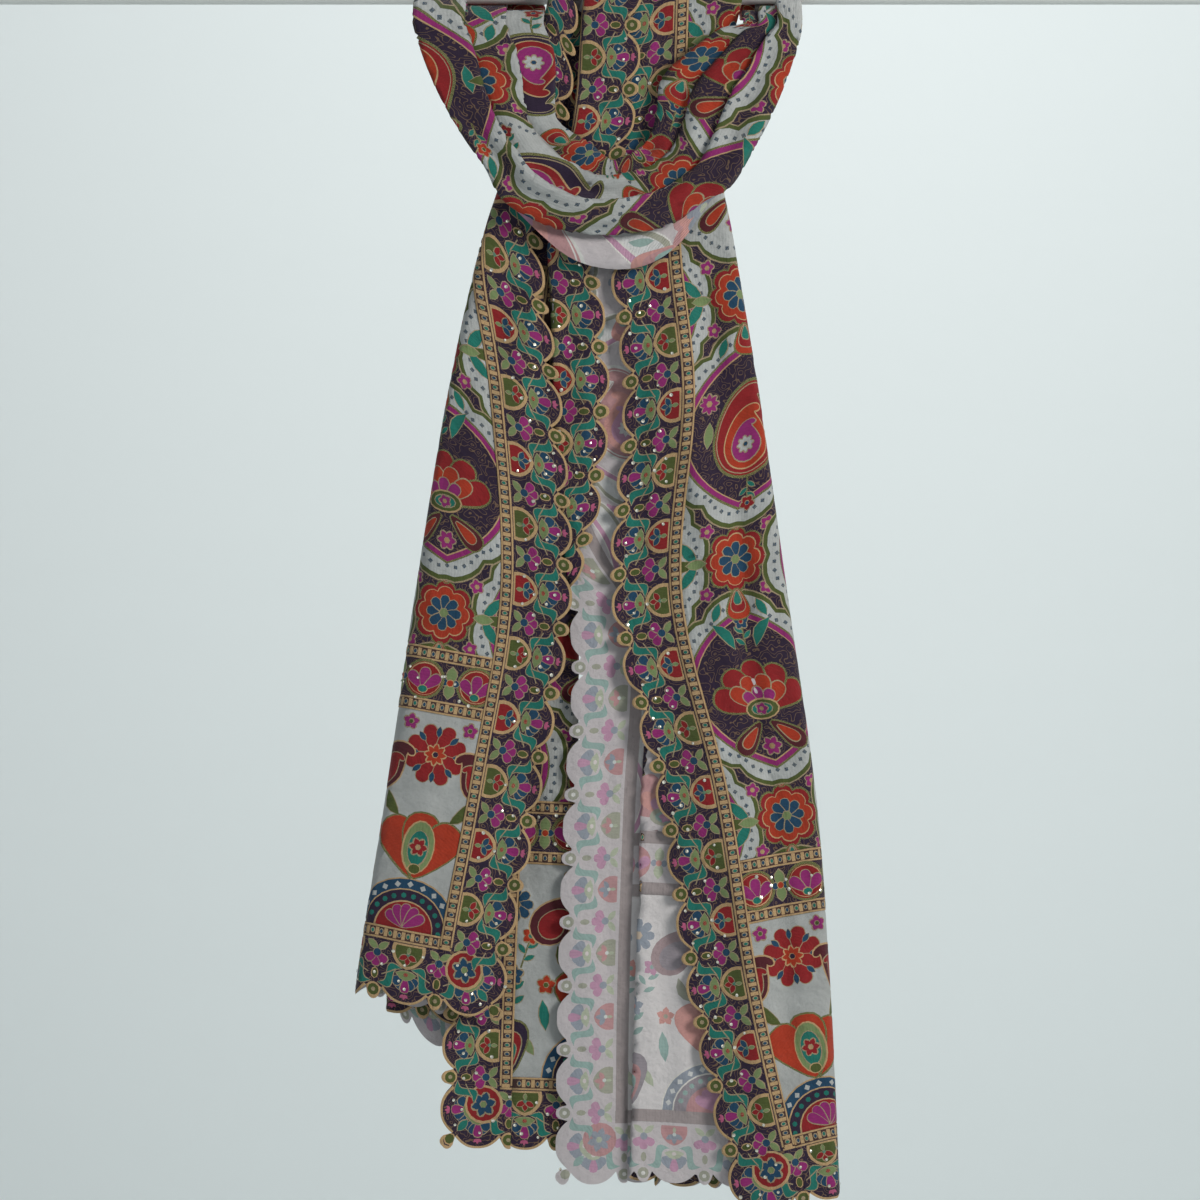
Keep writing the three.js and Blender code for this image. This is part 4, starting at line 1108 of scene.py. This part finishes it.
def embroidery_material():
    """Dyed thread over a woven ground. The stitch runs at the angle that each shape is given."""
    material = bpy.data.materials.new("embroidery")
    material.use_nodes = True
    nodes, links = material.node_tree.nodes, material.node_tree.links
    shader = nodes["Principled BSDF"]

    def math_node(operation, *values):
        node = nodes.new("ShaderNodeMath")
        node.operation = operation
        for socket, value in zip(node.inputs, values):
            if isinstance(value, (int, float)):
                socket.default_value = value
            else:
                links.new(value, socket)
        return node.outputs[0]

    def times(first, second):
        return math_node("MULTIPLY", first, second)

    def plus(first, second):
        return math_node("ADD", first, second)

    def mix(fac, first, second):
        node = nodes.new("ShaderNodeMix")
        node.data_type = "RGBA"
        sockets = (node.inputs[0], node.inputs[6], node.inputs[7])
        for socket, value in zip(sockets, (fac, first, second)):
            if isinstance(value, (int, float)):
                socket.default_value = value
            elif isinstance(value, tuple):
                socket.default_value = (*value, 1)
            else:
                links.new(value, socket)
        return node.outputs[2]

    dye = nodes.new("ShaderNodeAttribute")
    dye.attribute_name = "dye"
    stitch = nodes.new("ShaderNodeAttribute")
    stitch.attribute_name = "stitch"
    parts = nodes.new("ShaderNodeSeparateXYZ")
    links.new(stitch.outputs["Vector"], parts.inputs[0])
    kind, angle, reverse = parts.outputs
    flat = nodes.new("ShaderNodeUVMap")
    flat.uv_map = "flat"
    spin = nodes.new("ShaderNodeVectorRotate")
    spin.rotation_type = "Z_AXIS"
    links.new(flat.outputs[0], spin.inputs["Vector"])
    links.new(times(angle, -math.pi / 180), spin.inputs["Angle"])
    placed = nodes.new("ShaderNodeSeparateXYZ")
    links.new(spin.outputs[0], placed.inputs[0])

    def noise(scale, detail, vector):
        node = nodes.new("ShaderNodeTexNoise")
        node.inputs["Scale"].default_value = scale
        node.inputs["Detail"].default_value = detail
        links.new(vector, node.inputs["Vector"])
        return node.outputs["Fac"]

    wobble = times(noise(26, 2, flat.outputs[0]), 7)
    threads = math_node("SINE", plus(times(placed.outputs[1], THREAD_WAVES), wobble))
    ends = math_node("SINE", plus(times(placed.outputs[0], END_WAVES), wobble))
    unturned = nodes.new("ShaderNodeSeparateXYZ")
    links.new(flat.outputs[0], unturned.inputs[0])
    warp = math_node("SINE", times(unturned.outputs[0], WEAVE_WAVES))
    weft = math_node("SINE", times(unturned.outputs[1], WEAVE_WAVES))
    weave = times(warp, weft)
    stitched = math_node("MINIMUM", kind, 1)
    thread_height = plus(times(threads, 0.75), times(ends, 0.25))
    height_mix = nodes.new("ShaderNodeMix")
    links.new(stitched, height_mix.inputs[0])
    links.new(weave, height_mix.inputs[2])
    links.new(thread_height, height_mix.inputs[3])
    height = height_mix.outputs[0]
    metallic_thread = math_node("GREATER_THAN", kind, 1.5)

    grain = noise(260, 3, flat.outputs[0])
    cloudy = noise(3.5, 2, flat.outputs[0])
    tone = plus(times(grain, 0.55), times(cloudy, 0.35))
    # The thread and weave height is added too. It paints the colour lighter on the crests of the
    # threads and darker in the grooves between them, which is painted shade.
    tone = plus(tone, times(height, 0.10))
    shade = plus(times(tone, 0.95), 0.40)
    toned_and_shaded = nodes.new("ShaderNodeVectorMath")
    toned_and_shaded.operation = "SCALE"
    links.new(dye.outputs["Color"], toned_and_shaded.inputs[0])
    links.new(shade, toned_and_shaded.inputs["Scale"])
    deep = nodes.new("ShaderNodeVectorMath")
    deep.operation = "MULTIPLY"
    links.new(toned_and_shaded.outputs[0], deep.inputs[0])
    deep.inputs[1].default_value = DEEPENING
    scrolls = math_node("FRACT", times(noise(SCROLL_SCALE, 1, flat.outputs[0]), SCROLL_BANDS))
    filigree = math_node("LESS_THAN", scrolls, SCROLL_WIDTH)
    filigree = times(filigree, math_node("LESS_THAN", kind, 0.5))
    darkness = math_node("LESS_THAN", dye.outputs["Fac"], DARK_DYE)
    filigree = times(times(filigree, darkness), SCROLL_STRENGTH)
    bare = times(math_node("LESS_THAN", kind, 0.5), PALER_GROUND)
    pale = mix(times(metallic_thread, PALE_METAL),
               mix(plus(bare, PALE_THREAD), toned_and_shaded.outputs[0], srgb(226, 220, 220)),
               srgb(226, 226, 224))
    faced = mix(filigree, deep.outputs[0], srgb(176, 148, 104))
    colour = mix(reverse, faced, pale)
    # Painted highlights: tiny specks on the face's metal threads are painted a light warm colour.
    # The same specks are also made glossier, which is real gloss.
    glint = math_node("GREATER_THAN", noise(420, 0, flat.outputs[0]), 0.60)
    glinting = times(times(glint, metallic_thread),
                         math_node("SUBTRACT", 1, reverse))
    colour = mix(times(glinting, 0.55), colour, srgb(235, 214, 170))
    rich = nodes.new("ShaderNodeGamma")
    rich.inputs["Gamma"].default_value = RICHNESS
    links.new(colour, rich.inputs["Color"])
    links.new(rich.outputs[0], shader.inputs["Base Color"])
    links.new(math_node("SUBTRACT", 0.84, times(glinting, 0.5)),
              shader.inputs["Roughness"])
    shader.inputs["Sheen Weight"].default_value = 0.05
    bump = nodes.new("ShaderNodeBump")
    bump.inputs["Strength"].default_value = 0.6
    bump.inputs["Distance"].default_value = 0.0005
    links.new(plus(height, times(grain, 0.8)), bump.inputs["Height"])
    rumple = nodes.new("ShaderNodeBump")
    rumple.inputs["Strength"].default_value = 0.9
    rumple.inputs["Distance"].default_value = 0.004
    uneven = plus(noise(5, 3, flat.outputs[0]),
                       times(noise(17, 2, flat.outputs[0]), 0.4))
    links.new(uneven, rumple.inputs["Height"])
    links.new(rumple.outputs[0], bump.inputs["Normal"])
    links.new(bump.outputs[0], shader.inputs["Normal"])
    return material


def plain_material(name, colour, roughness):
    """A colour with a faint uneven tone."""
    material = bpy.data.materials.new(name)
    material.use_nodes = True
    nodes, links = material.node_tree.nodes, material.node_tree.links
    shader = nodes["Principled BSDF"]
    shader.inputs["Roughness"].default_value = roughness
    coordinates = nodes.new("ShaderNodeTexCoord")
    noise = nodes.new("ShaderNodeTexNoise")
    noise.inputs["Scale"].default_value = 14
    links.new(coordinates.outputs["Object"], noise.inputs["Vector"])
    ramp = nodes.new("ShaderNodeValToRGB")
    ramp.color_ramp.elements[0].color = (*[c * 0.94 for c in colour], 1)
    ramp.color_ramp.elements[1].color = (*[min(1, c * 1.05) for c in colour], 1)
    links.new(noise.outputs["Fac"], ramp.inputs["Fac"])
    links.new(ramp.outputs["Color"], shader.inputs["Base Color"])
    return material


embroidery = embroidery_material()
rod_paint = plain_material("rod_paint", srgb(205, 208, 204), 0.42)
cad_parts["rod"].data.materials.clear()
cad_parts["rod"].data.materials.append(rod_paint)


# ---------------------------------------------------------------- the pieces

# How far the cloth below the rod line ends short of it, and the cloth over the rod starts past it.
TOP_GAP, WRAP_GAP = 0.5, 0.3


def along(low, high, step):
    """Places from low to high at about a step, both ends included."""
    return np.linspace(low, high, max(2, int(round(abs(high - low) / step)) + 1))


def box_outline(drape, u_low, u_high, v_low, v_high=None):
    """A rectangle's outline. Where v_high isn't given it ends at the drape's top."""
    us = along(u_low, u_high, 8)
    tops = np.full(len(us), v_high) if v_high else np.interp(us, drape.columns, drape.top) - TOP_GAP
    bottom = [(u, v_low) for u in us]
    right = [(u_high, v) for v in along(v_low, tops[-1], 8)[1:-1]]
    top = [(u, v) for u, v in zip(us[::-1], tops[::-1])]
    left = [(u_low, v) for v in along(tops[0], v_low, 8)[1:-1]]
    return np.array(bottom + right + top + left)


def sheet_outline(width, low, high):
    """The outline of cloth that fills its drape between two places along it."""
    us, vs = along(0, width, 6), along(low, high, 6)
    return ([(u, low) for u in us] + [(width, v) for v in vs[1:-1]]
            + [(u, high) for u in us[::-1]] + [(0, v) for v in vs[::-1][1:-1]])


def side_patch(drape, u_edge, inward, random):
    """A side border with its corner, from the hem up to the rod."""
    patch = Patch(side_outline(drape, u_edge, inward))
    pitch = drape.hem_pitch

    def on_side(points):
        return np.stack([u_edge + inward * points[:, 1], points[:, 0]], 1)

    def on_hem(points):
        return np.stack([u_edge + inward * points[:, 0], points[:, 1]], 1)

    side, hem = Chart(patch, random, on_side), Chart(patch, random, on_hem)
    for corner in (side, hem):
        border_cord(corner, 0, pitch)
        border_lobe(corner, BROAD_LOBE * pitch)
    border_cord(hem, 1, pitch)
    border_flower(hem, (1 + SMALL_LOBE) * pitch)
    hem.outlined(ellipse((39, 39), 15, 15, 0, 16), "crimson", "beige", 2.2)
    hem.flower((39, 39), 11, 6, "petrol", "sage", 15, "zari")
    hem.outlined(leaf((16, 16), 13, 7, 45), "teal", "zari", 0.8, 45)
    hem.outlined(ellipse((9, 9), 4.4, 4.4, 0, 8), "olive", "beige", 1.2)
    border_trim(hem, 53, 64)
    border_run(side, SCALLOP_PITCH, patch.high[1] + 10, SCALLOP_PITCH)
    return patch


def hem_patch(drape, random):
    patch = Patch(hem_outline(drape))
    border_run(Chart(patch, random), BORDER, drape.width - BORDER, drape.hem_pitch)
    return patch


def side_outline(drape, u_edge, inward):
    """A side border's outline, from the hem border's corner up to the rod, scalloped outside."""
    u_in = u_edge + inward * BORDER
    top_edge, top_in = (float(np.interp(u, drape.columns, drape.top)) - TOP_GAP
                        for u in (u_edge + inward * 10, u_in))
    outside = [(u_edge + inward * scallop(v), v) for v in along(0, top_edge, 2) if v > scallop(v)]
    inside = [(u_in, v) for v in along(top_in, scallop(BORDER, drape.hem_pitch), 8)]
    across = [a for a in along(0, BORDER, 2)[:-1] if a >= scallop(a, drape.hem_pitch)]
    corner = [(u_edge + inward * a, scallop(a, drape.hem_pitch)) for a in across[::-1]]
    return np.array(outside + inside + corner)


def hem_outline(drape):
    us = along(BORDER, drape.width - BORDER, 2)
    bottom = [(u, scallop(u, drape.hem_pitch)) for u in us]
    top = [(u, BORDER) for u in along(us[-1], us[0], 8)]
    return np.array(bottom + top)


# Cells of the view, how far behind the nearest cloth still counts as seen, and how many grid
# places the seen ones are grown by.
SEEN_CELL, SEEN_DEPTH, SEEN_SPREAD = 3.0, 3, 6


def mark_seen(drapes):
    """Marks where each drape's face and reverse can be seen from the front or from behind."""
    points = np.concatenate([drape.points.reshape(-1, 3) for drape in drapes])
    low = points[:, [0, 2]].min(axis=0) - SEEN_CELL
    size = ((points[:, [0, 2]].max(axis=0) - low) / SEEN_CELL).astype(int) + 3
    nearest, farthest = np.full(size, 1e9), np.full(size, -1e9)

    def cells(grid):
        return tuple(((grid[..., [0, 2]] - low) / SEEN_CELL).astype(int).transpose(2, 0, 1))

    for drape in drapes:
        between = (drape.points[:-1] + drape.points[1:]) / 2
        for grid in (drape.points, between):
            spots = cells(grid)
            np.minimum.at(nearest, spots, grid[..., 1])
            np.maximum.at(farthest, spots, grid[..., 1])
    for drape in drapes:
        spots = cells(drape.points)
        depth = drape.points[..., 1]
        in_front, behind = depth < nearest[spots] + SEEN_DEPTH, depth > farthest[spots] - SEEN_DEPTH
        forward = drape.normals[..., 1] < 0
        marks = []
        for faces_front in (forward, ~forward):
            seen = (in_front & faces_front) | (behind & ~faces_front)
            grown_marks = seen.copy()
            for k in range(1, SEEN_SPREAD + 1):
                grown_marks[:, k:] |= seen[:, :-k]
                grown_marks[:, :-k] |= seen[:, k:]
            wide = grown_marks.copy()
            for k in range(1, SEEN_SPREAD // 2 + 1):
                wide[k:] |= grown_marks[:-k]
                wide[:-k] |= grown_marks[k:]
            marks.append(wide)
        drape.face_seen, drape.reverse_seen = marks


left_drape = tail_drape(LEFT_TAIL, False, -1)
right_drape = tail_drape(RIGHT_TAIL, True, 1)
left_wrap = wrap_drape(left_drape, (-165, -53), -1)
right_wrap = wrap_drape(right_drape, (174, 124), 1)
ribbon = ribbon_drape(-1)
mark_seen([left_drape, right_drape, left_wrap, right_wrap, ribbon])

random = np.random.RandomState(7)
for side, drape, wrap in (("left", left_drape, left_wrap), ("right", right_drape, right_wrap)):
    inner = (BORDER, drape.width - BORDER)
    patches = {
        "field": field_chart(Patch(box_outline(drape, *inner, BAND_TOP)), random),
        "cross_band": cross_band_chart(
            Patch(box_outline(drape, *inner, PANEL_TOP, BAND_TOP)), random),
        "end_panel": end_panel_chart(Patch(box_outline(drape, *inner, BORDER, PANEL_TOP)), random),
        "hem_border": hem_patch(drape, random),
        "front_border": side_patch(drape, 0, 1, random),
        "back_border": side_patch(drape, drape.width, -1, random),
    }
    for part, patch in patches.items():
        node_names = [f"neck_{side}"] * (part == "field") + [f"{part}_{side}"]
        make_piece(f"{part}_cloth_{side}", drape, patch,
                   "ivory" if part == "end_panel" else "purple", node_names,
                   spacing=FIELD_SPACING if part == "field" else SPACING)
    over = Patch(sheet_outline(wrap.width, WRAP_GAP, wrap.length))
    make_piece(f"wrap_cloth_{side}", wrap, field_chart(over, random, 60), "purple",
               [f"wrap_{side}"])
band = Patch(sheet_outline(ribbon.width, 0, ribbon.length))
make_piece("bight_cloth", ribbon, field_chart(band, random, 30), "purple",
           ["arm_left", "bight_band", "arm_right"], spacing=BIGHT_SPACING)


# Where sequins may sit in a border's repeat, as a share of it and in mm from the border's edge,
# how many of these places hold one, and how far off it may be.
SEQUIN_SPOTS = [(0.125, 22.5), (0.02, 33), (0.23, 33), (0.625, 14), (0.5, 20), (0.75, 20),
                (0.625, 34), (0.38, 12), (0.87, 12), (0.42, 44), (0.83, 44)]
SEQUIN_CHANCE, SEQUIN_SHIFT = 0.55, 2.5
SEQUIN_LIFT, SEQUIN_CROWN, SEQUIN_CORNERS = 0.85, 0.25, 8


def sequin_places(drape, random):
    """Flat places of the sequins on a tail's borders and cross band."""
    places = []
    pitch = drape.hem_pitch

    def scatter(k, step, mapping):
        for share, inward in SEQUIN_SPOTS:
            if random.uniform() < SEQUIN_CHANCE:
                along_it = (k + share) * step + random.uniform(-SEQUIN_SHIFT, SEQUIN_SHIFT)
                across = inward + random.uniform(-SEQUIN_SHIFT, SEQUIN_SHIFT)
                places.append(mapping(along_it, across))

    for k in range(int(drape.width / pitch)):
        scatter(k, pitch, lambda a, c: (a, c))
    for k in range(1, int(drape.top.min() / SCALLOP_PITCH)):
        scatter(k, SCALLOP_PITCH, lambda a, c: (c, a))
        scatter(k, SCALLOP_PITCH, lambda a, c: (drape.width - c, a))
    for u in np.arange(BORDER + 12, drape.width - BORDER, 15):
        for _ in range(2):
            places.append((u + random.uniform(-5, 5),
                           PANEL_TOP + CROSS_BAND / 2 + random.uniform(-17, 17)))
    return np.array(places)


def sequin_piece(name, drape, places, random, material):
    """Small flat discs sewn on at slight tilts."""
    middle = drape.at(places[:, 0], places[:, 1], np.full(len(places), HALF_WALL + SEQUIN_LIFT))
    under = drape.at(places[:, 0], places[:, 1], np.zeros(len(places)))
    normal = middle - under
    normal += random.normal(0, 0.12, normal.shape) * np.linalg.norm(normal, axis=1, keepdims=True)
    normal /= np.linalg.norm(normal, axis=1, keepdims=True)
    side = np.cross(normal, [0.3, 0.1, 1.0])
    side /= np.linalg.norm(side, axis=1, keepdims=True)
    other = np.cross(normal, side)
    count = SEQUIN_CORNERS
    vertices, faces = [], []
    for i, at in enumerate(middle):
        radius = 1.25 + 0.45 * random.uniform()
        start = len(vertices)
        vertices.append(at + normal[i] * SEQUIN_CROWN)
        for k in range(count):
            turn = 2 * math.pi * k / count
            vertices.append(at + radius * (side[i] * math.cos(turn) + other[i] * math.sin(turn)))
        vertices.append(at - normal[i] * SEQUIN_CROWN)
        for k in range(count):
            ahead = (k + 1) % count
            faces.append((start, start + 1 + k, start + 1 + ahead))
            faces.append((start + count + 1, start + 1 + ahead, start + 1 + k))
    mesh = bpy.data.meshes.new(name)
    mesh.from_pydata([tuple(v * MM) for v in vertices], [], faces)
    piece = bpy.data.objects.new(name, mesh)
    bpy.context.scene.collection.objects.link(piece)
    piece.data.materials.append(material)
    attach(piece, "root")


def metal_material(name, colour, roughness):
    """Foil with a slightly uneven tint."""
    material = plain_material(name, colour, roughness)
    material.node_tree.nodes["Principled BSDF"].inputs["Metallic"].default_value = 0.85
    material.node_tree.nodes["Noise Texture"].inputs["Scale"].default_value = 160
    return material


sequin_foil = metal_material("sequin_foil", srgb(226, 222, 206), 0.25)
for side, drape in (("left", left_drape), ("right", right_drape)):
    sequin_piece(f"sequins_{side}", drape, sequin_places(drape, random), random, sequin_foil)


# ---------------------------------------------------------------- the room, camera and light

def wall_material():
    """Pale cloth with soft wrinkles, for the wall and the floor."""
    material = plain_material("backdrop_cloth", srgb(229, 235, 235), 0.9)
    nodes, links = material.node_tree.nodes, material.node_tree.links
    coordinates = nodes["Texture Coordinate"]
    stretch = nodes.new("ShaderNodeMapping")
    stretch.inputs["Rotation"].default_value = (0, 0, 0.5)
    stretch.inputs["Scale"].default_value = (1.0, 3.2, 1.0)
    wrinkle = nodes.new("ShaderNodeTexNoise")
    wrinkle.inputs["Scale"].default_value = 7
    wrinkle.inputs["Detail"].default_value = 3
    wrinkle.inputs["Distortion"].default_value = 0.6
    bump = nodes.new("ShaderNodeBump")
    bump.inputs["Strength"].default_value = 0.5
    bump.inputs["Distance"].default_value = 0.012
    links.new(coordinates.outputs["Object"], stretch.inputs["Vector"])
    links.new(stretch.outputs["Vector"], wrinkle.inputs["Vector"])
    links.new(wrinkle.outputs["Fac"], bump.inputs["Height"])
    links.new(bump.outputs["Normal"], nodes["Principled BSDF"].inputs["Normal"])
    nodes["Noise Texture"].inputs["Scale"].default_value = 2.5
    return material


wall_cloth = wall_material()
for name, middle, depth, tilt in (("backdrop", (0, 5.4, 2.8), 10, math.pi / 2),
                                  ("floor", (0, -6.6, -2.2), 24, 0)):
    bpy.ops.mesh.primitive_plane_add(size=1, location=middle, rotation=(tilt, 0, 0))
    plane = bpy.context.object
    plane.name = name
    plane.scale = (24, depth, 1)
    plane.data.materials.append(wall_cloth)

camera_data = bpy.data.cameras.new("camera")
camera_data.lens = 102
camera_data.sensor_width = 36
camera = bpy.data.objects.new("camera", camera_data)
bpy.context.scene.collection.objects.link(camera)
camera.location = (-0.0026, -3.0, -0.538)
camera.rotation_euler = (math.pi / 2, 0, 0)
bpy.context.scene.camera = camera


def area_light(name, at, aim, power, size, colour):
    data = bpy.data.lights.new(name, "AREA")
    data.energy, data.size, data.color = power, size, colour
    light = bpy.data.objects.new(name, data)
    bpy.context.scene.collection.objects.link(light)
    light.location = at
    light.rotation_euler = (Vector(aim) - Vector(at)).to_track_quat("-Z", "Y").to_euler()


MIDDLE = (0, 0, -0.5)
area_light("key", (2.1, -1.9, 0.5), MIDDLE, 70, 0.9, (1, 0.98, 0.95))
area_light("fill", (-1.6, -2.6, -0.2), MIDDLE, 12, 2.2, (0.94, 0.97, 1))
area_light("wall_light", (0.6, 1.4, 2.6), (0.1, 5.4, -0.5), 128, 2.0, (1, 1, 0.99))
area_light("back_fill", (-2.0, 2.6, 1.0), MIDDLE, 22, 1.6, (0.96, 0.98, 1))
world = bpy.data.worlds.new("room")
bpy.context.scene.world = world
world.use_nodes = True
sky = world.node_tree.nodes["Background"].inputs
sky["Color"].default_value = (0.86, 0.92, 0.95, 1)
sky["Strength"].default_value = 0.30

bpy.context.scene.view_settings.view_transform = "Standard"
